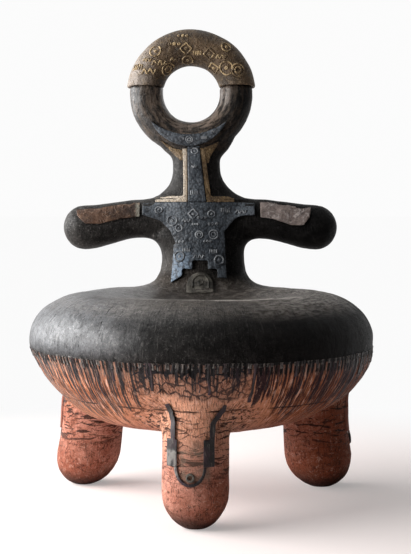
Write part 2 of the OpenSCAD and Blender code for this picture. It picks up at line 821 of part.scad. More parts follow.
// The slab that climbs the neck to the crescent
module neck_slab() {
    half = neck_slab_w / 2;
    z0 = chest_top + slab_meet;
    x0 = back_cx(z0) - slab_left;
    x1 = back_cx(neck_slab_top) - slab_left;
    color(clay_slate)
    front_slab(x1 - half, x0 + half, z0, neck_slab_top, slab_t)
        polygon([
            [x0 - half, z0], [x0 + half, z0],
            [x1 + half - slab_narrow, neck_slab_top],
            [x1 - half + slab_narrow, neck_slab_top]
        ]);
}

// An L-shaped strip beside the neck slab; side is -1 on the left, 1 on the right
module neck_strip(side, out) {
    z0 = chest_top + slab_meet;
    z1 = neck_slab_top;
    gap = slab_meet * side;
    in0 = back_cx(z0) - slab_left + side * neck_slab_w / 2 + gap;
    in1 = back_cx(z1) - slab_left + side * (neck_slab_w / 2 - slab_narrow) + gap;
    wide = strip_w * side;
    x_out = back_cx(z0) + side * (shoulder_half - out);
    edges = [in0, in1, in1 + wide, x_out];
    color(clay_tan)
    front_slab(min(edges), max(edges), z0, z1, strip_t)
        polygon([
            [in0, z0], [x_out, z0], [x_out, z0 + strip_foot_h],
            [in0 + wide, z0 + strip_foot_h], [in1 + wide, z1], [in1, z1]
        ]);
}

module left_neck_strip() { neck_strip(-1, left_strip_out); }
module right_neck_strip() { neck_strip(1, right_strip_out); }

// The arched plaque at the trunk's foot, in the chest slab's notch. Its lower
// edge keeps clear of the seat's face in front of the trunk.
module base_plaque() {
    half = plaque_w / 2;
    z0 = top_z(trunk_y - waist_deep / 2 - plaque_foot_out) + plaque_foot_up;
    arch = crest_z + plaque_rise - half;
    color(clay_slate)
    front_slab(chest_x - half, chest_x + half, z0, crest_z + plaque_rise, slab_t, 6)
        translate([chest_x, 0])
        polygon(concat(
            [[-half, z0], [half, z0]],
            [for (a = [0:15:180]) [half * cos(a), arch + half * sin(a)]]
        ));
}

// The crescent on the ring's lower front: a lens between two arcs that meet
// at its tips
module crescent_outline() {
    s = crescent_span / 2;
    low = ring_mid_r + crescent_low;
    h0 = crescent_bow;
    h1 = crescent_bow + crescent_w;
    r0 = (h0 * h0 + s * s) / (2 * h0);
    r1 = (h1 * h1 + s * s) / (2 * h1);
    difference() {
        translate([-crescent_left, r1 - low])
            circle(r = r1);
        translate([-crescent_left, r0 - low + crescent_w])
            circle(r = r0);
    }
}
module ring_crescent() {
    color(clay_slate)
    at_ring()
    intersection() {
        difference() {
            torus(ring_mid_r, ring_t + 2 * (fit_gap + slab_t));
            torus(ring_mid_r, ring_t + 2 * fit_gap);
        }
        rotate([90, 0, 0])
        linear_extrude(far)
            crescent_outline();
    }
}

// A slab over the top and front of an arm, cut to an outline in the distance
// from the arm's root and the height above its axis
function arm_rows(s0, s1, over) = [
    for (i = [0:arm_slab_steps])
        let (ring = arm_ring(mix(s0, s1, i / arm_slab_steps), -over))
        [for (j = [arm_slab_top:arm_slab_front]) ring[j]]
];
module arm_slab(side, len, low, dip) {
    color(clay_tan)
    translate([back_cx(arm_z), back_cy(arm_z), arm_z])
    mirror([side < 0 ? 1 : 0, 0, 0])
    translate([root_x, 0, 0])
    intersection() {
        rotate([0, 90, 0])
            sheet(arm_rows(slab_gap, len, fit_gap + strip_t),
                arm_rows(slab_gap, len, fit_gap));
        translate([0, arm_slab_over, 0])
        rotate([90, 0, 0])
        linear_extrude(far)
            polygon([
                [0, low], [len * 0.3, low - dip * 0.3], [len * 0.62, low - dip],
                [len * 0.85, low - dip], [len * 0.97, low],
                [len + 1, low + dip], [len + 1, arm_h], [0, arm_h]
            ]);
    }
}

module left_arm_slab() {
    arm_slab(-1, arm_len - left_slab_short, left_slab_low, left_slab_dip);
}
module right_arm_slab() {
    arm_slab(1, arm_len - right_slab_short, right_slab_low, right_slab_dip);
}

// Rows over the outer side of a leg, lifted by over, that follow its side and
// the start of its fillet, from one of its facets to another
function leg_rows(out, r, j0, j1, over) = concat(
    [for (i = [0:3])
        let (z = mix(trim_low, side_z, i / 3))
        [for (j = [j0:j1])
            let (p = leg_point(out, j, leg_r_at(r, z) + over))
            [p[0] + leg_shift(z), p[1], z]]],
    [for (t = [0, 0.35, 0.6])
        let (ring = leg_fillet_ring(out, r, t))
        [for (j = [j0:j1])
            let (q = ring[(j + leg_sides) % leg_sides], a = 360 * j / leg_sides)
            [q[0] + over * (1 - t) * cos(a), q[1] + over * (1 - t) * sin(a),
             q[2] - over * t]]]
);
module leg_trim(place, j0, j1) {
    $splay = place[3];
    $taper = place[4];
    color(clay_black)
    rotate([0, 0, place[0]])
    intersection() {
        sheet(leg_rows(place[2], place[1] / 2, j0, j1, fit_gap + trim_t),
            leg_rows(place[2], place[1] / 2, j0, j1, fit_gap));
        translate([place[2], trim_shift, 0])
        rotate([90, 0, 90])
        linear_extrude(far)
            children();
    }
}

// A strap: a plate with a narrow tail that runs up towards the bowl
module strap(place, side) {
    leg_trim(place, side < 0 ? -trim_reach - 1 : 1, side < 0 ? -1 : trim_reach)
        strap_outline(side);
}
module loop(place) {
    leg_trim(place, -trim_reach, trim_reach)
        loop_outline();
}
module boss(place) {
    leg_trim(place, -2, 1)
        boss_outline();
}
module strap_outline(side) {
    in = strap_out * side;
    out = (strap_out + strap_w) * side;
    root = in + (side < 0 ? -3 : strap_w - tail_w);
    tail = tail_w * side;
    sweep = (side < 0 ? tail_sweep / 2 : tail_sweep) * side;
    polygon([
        [in, plate_z0], [out, plate_z0], [out, plate_z1],
        [root + tail, plate_z1], [root + tail + side, plate_z1 + tail_up / 2],
        [root + tail + sweep / 2, plate_z1 + tail_up * 0.75],
        [root + tail + sweep, plate_z1 + tail_up], [root + sweep, plate_z1 + tail_up + 3],
        [root + sweep / 2, plate_z1 + tail_up * 0.8], [root, plate_z1 + tail_up / 2],
        [root, plate_z1], [in, plate_z1]
    ]);
}
module loop_outline() {
    rx = strap_out + loop_w;
    ry = plate_z0 - loop_gap - trim_low - loop_low;
    polygon(concat(
        [for (a = [180:15:360]) [rx * cos(a), plate_z0 - loop_gap + ry * sin(a)]],
        [for (a = [360:-15:180])
            [(rx - loop_w) * cos(a), plate_z0 - loop_gap + (ry - loop_w) * sin(a)]]
    ));
}
module boss_outline() {
    translate([0, plate_z0 - boss_d - 2])
    difference() {
        circle(d = boss_d, $fn = 24);
        circle(d = boss_d / 2, $fn = 24);
    }
}

module front_strap_left() { strap(FRONT, -1); }
module front_strap_right() { strap(FRONT, 1); }
module front_loop() { loop(FRONT); }
module front_boss() { boss(FRONT); }
module rear_right_strap_left() { strap(RIGHT, -1); }
module rear_right_strap_right() { strap(RIGHT, 1); }
module rear_right_loop() { loop(RIGHT); }
module rear_right_boss() { boss(RIGHT); }
module rear_left_strap_left() { strap(LEFT, -1); }
module rear_left_strap_right() { strap(LEFT, 1); }
module rear_left_loop() { loop(LEFT); }
module rear_left_boss() { boss(LEFT); }

seat_bowl();
seat_top();
rib_front();
rib_rear_right();
rib_rear_left();
front_leg();
rear_right_leg();
rear_left_leg();
trunk();
left_arm();
right_arm();
neck();
head_ring();
ring_sleeve();
ring_crescent();
neck_slab();
chest_slab();
base_plaque();
left_neck_strip();
right_neck_strip();
left_arm_slab();
right_arm_slab();
front_strap_left();
front_strap_right();
front_loop();
front_boss();
rear_right_strap_left();
rear_right_strap_right();
rear_right_loop();
rear_right_boss();
rear_left_strap_left();
rear_left_strap_right();
rear_left_loop();
rear_left_boss();
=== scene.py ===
# %% [markdown]
# A clay chair
#
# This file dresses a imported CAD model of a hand-built clay chair: a round,
# hollow seat on three domed legs, with a narrow back that is a trunk, two stub
# arms, a neck and an open ring. The CAD model gives every size and place. Here
# the clay gets its soft, hand-pressed surface, its raised motifs, its runs of
# slip and its finishes. The frame comes in first, and its box is kept, because
# nothing that is made later may leave that box.

import json
import math
from contextlib import contextmanager

import bmesh
import bpy
import numpy as np
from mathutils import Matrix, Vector, noise
from mathutils.bvhtree import BVHTree
from mathutils.kdtree import KDTree

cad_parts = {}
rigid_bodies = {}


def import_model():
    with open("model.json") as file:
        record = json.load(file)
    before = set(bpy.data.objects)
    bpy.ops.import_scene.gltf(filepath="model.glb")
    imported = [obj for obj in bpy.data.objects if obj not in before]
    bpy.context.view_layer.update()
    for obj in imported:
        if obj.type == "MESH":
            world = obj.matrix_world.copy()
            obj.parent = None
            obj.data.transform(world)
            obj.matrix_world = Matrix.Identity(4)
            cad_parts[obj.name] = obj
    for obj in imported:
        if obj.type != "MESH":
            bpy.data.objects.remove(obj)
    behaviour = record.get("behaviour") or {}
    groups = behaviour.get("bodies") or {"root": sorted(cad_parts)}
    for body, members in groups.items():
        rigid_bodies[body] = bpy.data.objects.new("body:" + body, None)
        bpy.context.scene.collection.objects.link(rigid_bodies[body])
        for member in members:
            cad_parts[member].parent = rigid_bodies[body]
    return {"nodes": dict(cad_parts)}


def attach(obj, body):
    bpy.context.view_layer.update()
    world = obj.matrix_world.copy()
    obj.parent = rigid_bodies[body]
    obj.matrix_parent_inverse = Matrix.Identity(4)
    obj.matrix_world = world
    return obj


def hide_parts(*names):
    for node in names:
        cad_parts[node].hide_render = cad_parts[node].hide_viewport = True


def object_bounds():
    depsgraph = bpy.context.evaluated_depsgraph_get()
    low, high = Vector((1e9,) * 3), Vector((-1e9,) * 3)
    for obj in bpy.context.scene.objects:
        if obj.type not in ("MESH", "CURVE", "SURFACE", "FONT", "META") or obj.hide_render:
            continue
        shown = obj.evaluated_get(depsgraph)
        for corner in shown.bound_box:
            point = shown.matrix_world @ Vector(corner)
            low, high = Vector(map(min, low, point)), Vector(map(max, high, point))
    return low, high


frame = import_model()
cad_low, cad_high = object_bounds()
scene = bpy.context.scene
print("CAD box, in metres:", tuple(cad_low), tuple(cad_high))

# %% [markdown]
# The camera stands where the photographer's stood: straight in front, a little
# over half a metre up and 2.7 metres away, tilted down by a few degrees. The
# lens is given as a focal length in pixels of a picture that is 554 pixels high,
# and Blender's sensor width belongs to the longer side.

# %% Camera
FOCAL_PX = 1504
PICTURE_HEIGHT = 554
SENSOR = 36
CAMERA_PLACE = (0.0077, -2.7, 0.554)
TILT_DOWN = 3.27
camera_data = bpy.data.cameras.new("camera")
camera_data.sensor_width = SENSOR
camera_data.lens = FOCAL_PX / PICTURE_HEIGHT * SENSOR
camera = bpy.data.objects.new("camera", camera_data)
camera.location = CAMERA_PLACE
camera.rotation_euler = (math.radians(90 - TILT_DOWN), 0, 0)
scene.collection.objects.link(camera)
scene.camera = camera
scene.view_settings.view_transform = "Standard"
print("Lens:", round(camera_data.lens, 1), "mm")

# %% [markdown]
# Node trees are written as Python expressions. Value wraps a socket, and an
# operator on it adds the Math node that does the sum. Tree adds every other
# node from its type, its settings and the values or links of its inputs. The
# same two classes build the materials and the Geometry Nodes.

# %% Expressions that add nodes
def operator(operation, reflected=False):
    """An operator that adds a Math node for itself."""
    def act(value, *others):
        order = (*others, value) if reflected else (value, *others)
        return value.tree.math(operation, *order)
    return act


class Value:
    """A number that changes from place to place: one output socket."""

    def __init__(self, tree, socket):
        self.tree = tree
        self.socket = socket

    __add__ = __radd__ = operator("ADD")
    __mul__ = __rmul__ = operator("MULTIPLY")
    __sub__ = operator("SUBTRACT")
    __rsub__ = operator("SUBTRACT", reflected=True)
    __truediv__ = operator("DIVIDE")
    __pow__ = operator("POWER")
    __abs__ = operator("ABSOLUTE")


class Tree:
    """A node tree, and the one method that adds a node to it."""

    def __init__(self, node_tree):
        self.nodes = node_tree.nodes
        self.links = node_tree.links

    def node(self, kind, settings=None, inputs=None):
        made = self.nodes.new(kind)
        for name, value in (settings or {}).items():
            setattr(made, name, value)
        self.fill(made, inputs or {})
        return made

    def fill(self, node, inputs):
        for key, value in inputs.items():
            self.plug(node.inputs[key], value)

    def result(self, kind, settings=None, inputs=None):
        """The first output of a new node."""
        return self.node(kind, settings, inputs).outputs[0]

    def plug(self, socket, value):
        if isinstance(value, Value):
            self.links.new(value.socket, socket)
        elif isinstance(value, bpy.types.NodeSocket):
            self.links.new(value, socket)
        else:
            socket.default_value = value

    def math(self, operation, *values):
        inputs = dict(enumerate(values))
        return Value(self, self.result("ShaderNodeMath", {"operation": operation}, inputs))

    def split(self, vector):
        made = self.node("ShaderNodeSeparateXYZ", None, {0: vector})
        return [Value(self, made.outputs[k]) for k in range(3)]

    def join(self, x, y, z):
        return self.result("ShaderNodeCombineXYZ", None, {0: x, 1: y, 2: z})

    def polar(self, x, y):
        """The angle round an axis, and the distance from it."""
        return self.math("ARCTAN2", y, x), self.math("SQRT", x * x + y * y)

    def step(self, value, low, high):
        """0 below low, 1 above high, smooth between. low may be the larger one."""
        return Value(self, self.result(
            "ShaderNodeMapRange", {"interpolation_type": "SMOOTHSTEP"},
            {"Value": value, "From Min": low, "From Max": high}))

    def band(self, value, low, full, still, high):
        """1 from full to still, 0 below low and above high, smooth between."""
        return self.step(value, low, full) * self.step(value, high, still)

    def noise(self, vector, scale, detail=2.0, roughness=0.5, distortion=0.0):
        return Value(self, self.result(
            "ShaderNodeTexNoise", None,
            {"Vector": vector, "Scale": scale, "Detail": detail,
             "Roughness": roughness, "Distortion": distortion}))

    def own_noise(self, x, y, z, *texture):
        """Noise in coordinates that a pattern has for itself."""
        return self.noise(self.join(x, y, z), 1.0, *texture)

    def cells(self, vector, scale, feature="F1"):
        made = self.node(
            "ShaderNodeTexVoronoi", {"feature": feature}, {"Vector": vector, "Scale": scale})
        return Value(self, made.outputs["Distance"])

    def blend(self, share, first, second):
        """A colour between two others."""
        made = self.node("ShaderNodeMix", {"data_type": "RGBA"}, {0: share, 6: first, 7: second})
        return made.outputs[2]

    def layers(self, colour, *more):
        """Colours laid one over the other, each by its own share."""
        for share, tint in more:
            colour = self.blend(share, colour, tint)
        return colour


def rgb(red, green, blue):
    return (red, green, blue, 1.0)


# %% [markdown]
# A finish is one material. Its colour, its roughness and its relief change over
# the surface, and all of them are read from Object coordinates, so pieces that
# meet carry one pattern across their joint. Two Bump nodes in a row give a
# coarse and a fine relief.

# %% How a finish is put together
class Finish(Tree):
    def __init__(self, name):
        self.material = bpy.data.materials.new(name)
        self.material.use_nodes = True
        super().__init__(self.material.node_tree)
        self.shader = self.nodes["Principled BSDF"]
        self.place = self.node("ShaderNodeTexCoord").outputs["Object"]
        self.x, self.y, self.z = self.split(self.place)

    def grain(self, scale, *texture):
        return self.noise(self.place, scale, *texture)

    def relief(self, height, depth, below=None):
        inputs = {"Height": height, "Distance": depth, "Strength": 1.0}
        if below is not None:
            inputs["Normal"] = below
        return self.result("ShaderNodeBump", None, inputs)

    def finish(self, colour, roughness, normal, specular=0.2, coat=0.0, coat_roughness=0.4):
        self.fill(self.shader, {
            "Base Color": colour, "Roughness": roughness, "Normal": normal,
            "Specular IOR Level": specular, "Coat Weight": coat,
            "Coat Roughness": coat_roughness})
        return self.material


# %% [markdown]
# Smoke-blackened clay covers the seat's upper half and the whole back. It is
# not one black: the crest is worn to a warm taupe, the dish is browner, the
# arms' tops are speckled, the trunk is browner near its foot, and the ring is
# streaked along its tube, in a lighter brown on the tube's inner front. Light
# and shade are painted into the colour as well. A pale line along the crest's
# front is a painted highlight. The seat's left is painted lighter, with more
# pale specks and ridges, and the far right edge has pale specks as a painted
# reflection. The arms' specks are kept to the upper left of their ends and the
# trunk's brown foot to its left half, and the ring's brown streaks fade towards
# its right: painted shade on the rest. Short scratches run down the seat's
# side, because it was scraped from the crest outwards. The clay itself is nearly
# matt. It shines where it was rubbed with a stone, most of all on the left of
# the seat and of the ring: there it has a coat, whose weight varies with the
# grain. The left of the seat also gets a painted sheen: a lighter graphite grey.

# %% Black clay
SEAM_Z = 0.278
CREST_R = 0.206
RING_CENTRE = (-0.0194, 0.2131, 0.7406)


def black_clay():
    f = Finish("black_clay")
    cloud = f.grain(8.0, 4.0, 0.6)
    mottle = f.grain(60.0, 5.0, 0.65)
    speckle = f.grain(250.0, 4.0, 0.8)
    around, far = f.polar(f.x, f.y)
    scratch = f.own_noise(around * 62.0, far * 30.0, f.z * 34.0, 4.0, 0.75, 0.6)
    strokes = f.own_noise(around * 13.0, far * 150.0, f.z * 90.0, 5.0, 0.78, 0.3)
    ring_x = f.x - RING_CENTRE[0]
    tube_turn, tube_far = f.polar(f.z - RING_CENTRE[2], ring_x)
    streak = f.own_noise(tube_turn * 2.5, tube_far * 150.0, f.y * 150.0, 4.0, 0.65)
    wear = f.step(cloud * 0.45 + mottle * 0.55, 0.42, 0.62)
    pale_speck = f.step(speckle, 0.55, 0.68)
    dark_speck = f.step(speckle, 0.45, 0.34)
    groove = f.step(scratch, 0.42, 0.32)
    ridge = f.step(scratch, 0.58, 0.68)

    crest = f.band(f.z, 0.338, 0.366, 0.378, 0.400)
    outer = 0.16 + f.step(abs(f.x), 0.05, 0.17) * 0.80
    dish = f.step(far, 0.185, 0.150) * crest
    # Painted highlight: a pale line along the crest's front edge.
    rim = f.step(abs(far - CREST_R), 0.012, 0.003) * f.step(f.y, -0.06, -0.13) * crest
    # Painted shade: the trunk's brown foot is kept to its left half, so its right stays black.
    foot = f.band(f.z, 0.355, 0.372, 0.39, 0.47) * f.step(f.x, 0.05, -0.05)
    # Painted light and shade: the arms' pale specks only on the upper, left-leaning part of their
    # ends; below, they stay black.
    painted_light_arm_ends = f.step(abs(f.x + 0.01), 0.130, 0.165) * f.step(f.z, 0.465, 0.505) * f.step(f.x, 0.30, -0.15)
    # Painted light: the seat's left is lighter, with more pale specks and ridges.
    painted_light_left = f.step(f.x, 0.20, -0.22)
    # Painted reflection: pale specks along the far right edge.
    painted_rim_reflection = f.step(f.x, 0.245, 0.300)
    on_ring = f.step(f.z, 0.605, 0.66)
    inner = f.step(tube_far, 0.088, 0.066)
    inner_front = inner * f.step(f.y, 0.24, 0.20)
    # Painted shade: the ring's brown streaks fade towards its right.
    in_light = 0.9 - f.step(ring_x, 0.030, 0.090) * 0.5
    brown = f.blend(inner_front, rgb(0.105, 0.078, 0.058), rgb(0.260, 0.195, 0.150))
    rubbed_seat = f.band(f.z, 0.270, 0.295, 0.372, 0.390) * f.step(f.x, 0.10, -0.20)
    # Painted sheen: the rubbed left of the seat is coloured a lighter graphite grey.
    painted_sheen = rubbed_seat * f.step(f.x, -0.06, -0.20) * (
        0.45 + f.step(mottle, 0.38, 0.60) * 0.3 + pale_speck * 0.3 - groove * 0.3)
    colour = f.layers(
        rgb(0.0026, 0.0024, 0.0024),
        (wear, rgb(0.013, 0.012, 0.0118)),
        (painted_light_left * (0.25 + wear * 0.75), rgb(0.044, 0.041, 0.038)),
        (crest * (0.22 + wear * 0.60), rgb(0.115, 0.097, 0.082)),
        (crest * f.step(strokes, 0.38, 0.64) * outer, rgb(0.350, 0.322, 0.298)),
        (dish * f.step(mottle, 0.62, 0.40) * 0.8, rgb(0.030, 0.024, 0.020)),
        (rim * f.step(strokes, 0.36, 0.56) * 0.85, rgb(0.420, 0.385, 0.350)),
        (foot * 0.6, rgb(0.056, 0.046, 0.038)),
        (painted_sheen, rgb(0.112, 0.118, 0.130)),
        (foot * pale_speck * 0.6, rgb(0.200, 0.165, 0.140)),
        (on_ring * f.step(streak, 0.42 - inner_front * 0.08, 0.62) * in_light, brown),
        (on_ring * f.step(streak, 0.36, 0.26) * 0.9, rgb(0.006, 0.005, 0.005)),
        (painted_light_arm_ends * pale_speck * 0.8, rgb(0.175, 0.172, 0.172)),
        (pale_speck * (0.05 + painted_light_left * 0.45 + crest * 0.3 + painted_rim_reflection * 0.5),
         rgb(0.220, 0.205, 0.195)),
        (ridge * (0.06 + painted_light_left * 0.36 + crest * 0.2), rgb(0.180, 0.168, 0.158)),
        (groove * 0.85, rgb(0.003, 0.003, 0.003)),
        (dark_speck * 0.75, rgb(0.003, 0.003, 0.003)),
    )

    fine = f.relief(scratch * 1.2 + speckle * 1.1 + streak * on_ring * 0.8, 0.0026)
    normal = f.relief(mottle * 0.9 + cloud * 0.8, 0.0034, fine)
    rubbed_ring = on_ring * (0.20 + f.step(ring_x, 0.02, -0.05) * 0.45
                             + inner * f.step(streak, 0.40, 0.56) * 0.8)
    rubbed_back = f.step(f.z, 0.385, 0.41) * f.step(f.x, 0.02, -0.08) * 0.3
    rubbed = rubbed_seat + (rubbed_ring + rubbed_back) * f.step(f.z, 0.375, 0.39)
    grain = (0.50 + pale_speck * 0.5 + ridge * 0.3 + f.step(mottle, 0.40, 0.60) * 0.25
             - groove * 0.45 - dark_speck * 0.3)
    roughness = 0.46 + wear * 0.15 + pale_speck * 0.12
    return f.finish(colour, roughness, normal, specular=0.05, coat=rubbed * grain,
                    coat_roughness=0.37)


BLACK = black_clay()
print("Finish:", BLACK.name)

# %% [markdown]
# The lower half and the legs are terracotta. It is orange on the bowl and
# pinker on the legs. Dark scratches a thumbnail long cover it: they run down
# the bowl, stand like rays round the top of each leg, and turn into pits on the
# leg. Wrinkles ring each leg, and a net of cracks crosses them in places. Apart
# from the pits, each pattern lies in coordinates of its own: angle and distance
# from the seat's axis, or from the axis of the nearest leg.

# %% Scratches, wrinkles and cracks
LEG_AXES = ((-0.0084, -0.240), (0.2180, 0.1063), (-0.2120, 0.1274))


def round_a_leg(f):
    """Angle round the nearest leg's axis, and the distance from it."""
    nearest, turn = None, None
    for x, y in LEG_AXES:
        angle, away = f.polar(f.x - x, f.y - y)
        if nearest is None:
            nearest, turn = away, angle
        else:
            closer = f.math("LESS_THAN", away, nearest)
            turn = turn + (angle - turn) * closer
            nearest = f.math("MINIMUM", nearest, away)
    return turn, nearest


def scratches(f, around, far, turn, away, cloud):
    down = f.own_noise(around * 80.0 + cloud * 4.0, far * 34.0, f.z * 40.0, 3.0, 0.65, 0.5)
    rays = f.own_noise(turn * 24.0, away * 60.0, f.z * 80.0 + turn * 9.0, 3.0, 0.7, 1.1)
    pits = f.own_noise(f.x * 95.0, f.y * 95.0, f.z * 130.0, 4.0, 0.8, 0.8)
    hatch = down + (rays - down) * f.step(away, 0.135, 0.085)
    return hatch + (pits - hatch) * f.step(f.z, 0.165, 0.125) * 0.8


def leg_marks(f, turn, away, cloud, mottle):
    """Shares of the wrinkles, of the cracks, and of the strokes on a foot."""
    gaps = f.grain(26.0, 2.0)
    rings = f.own_noise(turn * 0.8, away * 150.0, f.z * 230.0 + cloud * 7.0, 2.0, 0.6)
    on_leg = f.band(f.z, 0.060, 0.110, 0.185, 0.215) * f.step(away, 0.120, 0.090)
    wrinkle = f.step(rings, 0.556, 0.578) * f.step(gaps, 0.35, 0.44) * on_leg
    net = f.cells(f.join(turn * 1.3 + mottle * 0.6, 0.0, f.z * 85.0 + mottle * 2.0), 1.0,
                  "DISTANCE_TO_EDGE")
    crack = (f.step(net, 0.035, 0.008) * f.band(f.z, 0.070, 0.110, 0.175, 0.195)
             * f.step(away, 0.085, 0.070) * f.step(gaps, 0.56, 0.46))
    stretch = f.own_noise(turn * 12.0, 0.0, f.z * 75.0, 3.0, 0.75, 1.4)
    return wrinkle, crack, f.step(stretch, 0.53, 0.62) * f.step(f.z, 0.13, 0.085)


# %% [markdown]
# The dark slip of the upper half hangs down over the terracotta. Right below
# the seam it was cut into a fringe of nicks, about nine millimetres apart.
# Below that, it ran: thin lines on the left, a crackled veil in the middle and
# broad aubergine patches on the right, all of them almost straight down the
# bowl. A run is there where a noise of the angle, which changes only slowly with
# height, is high. It ends at a depth that is a second, slower noise of the angle.

# %% The slip, as shares and as colours
TEETH = 214


def slip_line(f, around):
    """Height at which the slip ends: the seam is not quite level."""
    return (SEAM_Z - 0.002 + f.math("COSINE", around) * -0.006
            + (f.own_noise(around * 9.0, 0.0, 0.0) - 0.5) * 0.006)


def runs_of_slip(f, around, depth):
    teeth = f.math("COSINE", around * float(TEETH) + f.own_noise(around * 40.0, 0.0, 0.0) * 5.0)
    reach = 0.010 + f.own_noise(around * 60.0, 3.0, 0.0) * 0.012
    nick = f.step(teeth, -0.15, 0.35) * f.step(depth - reach, 0.0025, -0.0025)
    bend = f.z * 5.0
    middle = f.step(abs(f.x), 0.150, 0.060) * f.step(f.y, -0.1, -0.2)
    leftward = f.step(f.x, -0.05, -0.15)
    rightward = f.step(f.x, -0.02, 0.10)
    thin = f.own_noise(around * 62.0, bend, 1.0, 2.0, 0.6)
    thin_reach = (0.012 + f.own_noise(around * 17.0, 5.0, 0.0, 3.0, 0.7) ** 2.2
                  * (0.34 + leftward * 0.10)) * (1.0 - middle * 0.62)
    lines = f.step(thin, 0.49 - leftward * 0.03, 0.53) * f.step(depth - thin_reach, 0.004, -0.004)
    broad = f.own_noise(around * 15.0, bend, 7.0, 3.0, 0.6)
    broad_reach = (0.006 + f.own_noise(around * 9.0, 9.0, 0.0, 3.0) ** 2.0
                   * (0.16 + rightward * 0.16)) * (1.0 - middle * 0.45)
    patch = f.step(broad, 0.53 - rightward * 0.04, 0.56) * f.step(depth - broad_reach, 0.004, -0.004)
    return nick, lines, patch


def veil_of_slip(f, depth, cloud, mottle):
    """The thin slip over the front's middle, darker along its crackle."""
    veil = (f.step(abs(f.x + 0.02), 0.130, 0.080) * f.step(f.y, -0.1, -0.2)
            * f.step(depth - 0.022 - cloud * 0.060, 0.008, -0.004))
    crackle = f.cells(f.join(f.x * 70.0 + mottle * 2.0, f.y * 30.0, f.z * 62.0), 1.0,
                      "DISTANCE_TO_EDGE")
    return veil * (0.40 + f.step(depth, 0.030, 0.012) * 0.25 + f.step(crackle, 0.110, 0.045) * 0.50)


# %% [markdown]
# All of this comes together in one finish. The middle of the bowl's front,
# down to the top of the front leg, is painted lighter as painted light, and
# the bowl's right is painted darker and redder as painted shade. A cut line
# runs round the bowl in stretches, soot darkens the feet, and the front leg
# has a panel of speckled grey-tan clay between its two straps. The slip goes
# over everything else, and is a little glossy on the left.

# %% Terracotta
CUT_LINE_Z = 0.197


def grit_panel(f, mottle):
    inside = (f.band(f.x, -0.040, -0.030, 0.010, 0.020) * f.step(f.y, -0.24, -0.26)
              * f.band(f.z, 0.070, 0.094, 0.130, 0.166))
    return inside * (0.22 + f.step(mottle, 0.40, 0.60) * 0.55)


def terracotta():
    f = Finish("terracotta")
    cloud = f.grain(7.0, 4.0, 0.6)
    mottle = f.grain(48.0, 5.0, 0.65)
    grit = f.grain(260.0, 3.0, 0.7)
    around, far = f.polar(f.x, f.y)
    turn, away = round_a_leg(f)
    hatch = scratches(f, around, far, turn, away, cloud)
    scratch = f.step(hatch, 0.53, 0.60)
    pale_stroke = f.step(hatch, 0.45, 0.37)
    wrinkle, crack, foot_mark = leg_marks(f, turn, away, cloud, mottle)
    leg = f.step(f.z, 0.178, 0.140)
    # Painted light: the middle of the bowl's front and the top of the front leg are lighter.
    lit = f.step(abs(f.x + 0.01), 0.150, 0.050) * f.step(f.y, -0.1, -0.2) * f.step(f.z, 0.10, 0.16)
    wave = f.z + (mottle - 0.5) * 0.006
    stretches = f.step(f.own_noise(around * 3.0, 2.0, 0.0), 0.42, 0.5)
    cut = f.step(abs(wave - CUT_LINE_Z), 0.0016, 0.0005) * stretches
    soot = f.step(f.z + (cloud - 0.5) * 0.06, 0.05, 0.004)
    orange = f.blend(f.step(cloud, 0.35, 0.62), rgb(0.66, 0.285, 0.150), rgb(0.50, 0.180, 0.085))
    pink = f.blend(f.step(cloud, 0.38, 0.60), rgb(0.60, 0.270, 0.195), rgb(0.36, 0.118, 0.072))
    bare = f.layers(
        orange,
        (leg, pink),
        # Painted shade: the right side is darker and redder.
        (f.step(f.x, 0.03, 0.24) * 0.70, rgb(0.30, 0.075, 0.030)),
        (lit * 0.60, rgb(0.92, 0.49, 0.33)),
        (f.step(mottle, 0.50, 0.64) * 0.45, rgb(0.22, 0.072, 0.038)),
        (pale_stroke * (0.70 - leg * 0.30), rgb(0.86, 0.56, 0.44)),
        (scratch * 0.80, rgb(0.085, 0.030, 0.020)),
        (wrinkle * 0.92, rgb(0.034, 0.014, 0.011)),
        (crack * 0.85, rgb(0.040, 0.017, 0.013)),
        (foot_mark * 0.70, rgb(0.060, 0.024, 0.018)),
        (f.step(grit, 0.58, 0.70) * 0.4, rgb(0.70, 0.46, 0.36)),
        (f.step(grit, 0.42, 0.30) * 0.5, rgb(0.060, 0.024, 0.016)),
        (grit_panel(f, mottle), rgb(0.225, 0.165, 0.125)),
        (cut * 0.85, rgb(0.030, 0.015, 0.012)),
        (soot * 0.9, rgb(0.022, 0.012, 0.010)),
    )

    depth = slip_line(f, around) - f.z
    nick, lines, patch = runs_of_slip(f, around, depth)
    right = f.step(f.x, 0.0, 0.12)
    left = f.step(f.x, -0.06, -0.16)
    dusty = f.step(depth, 0.028 + left * 0.030, 0.004)
    over = f.step(depth, 0.002, -0.001)
    slip_colour = f.blend(right, rgb(0.014, 0.015, 0.018), rgb(0.020, 0.008, 0.013))
    colour = f.layers(
        bare,
        (dusty * (0.50 + scratch * 0.4), rgb(0.190, 0.160, 0.145)),
        (veil_of_slip(f, depth, cloud, mottle), rgb(0.020, 0.018, 0.022)),
        (patch * (0.95 - pale_stroke * 0.5), slip_colour),
        (lines * (0.92 - pale_stroke * 0.4), slip_colour),
        (nick * 0.95, rgb(0.004, 0.004, 0.004)),
        (over, rgb(0.010, 0.0095, 0.0095)),
    )
    slipped = f.math("MAXIMUM", f.math("MAXIMUM", lines, patch), over)
    fine = f.relief(grit * 0.8 - scratch * 0.9 - wrinkle * 1.6 - crack * 1.4 - cut * 1.6
                    - nick * 2.4 + slipped * 1.0, 0.0012)
    normal = f.relief(mottle * 0.9 + hatch * 1.0, 0.0036, fine)
    roughness = 0.52 + mottle * 0.22 - slipped * 0.22
    return f.finish(colour, roughness, normal, specular=0.10, coat=slipped * (1.0 - right) * 0.2)


TERRACOTTA = terracotta()
print("Finish:", TERRACOTTA.name)
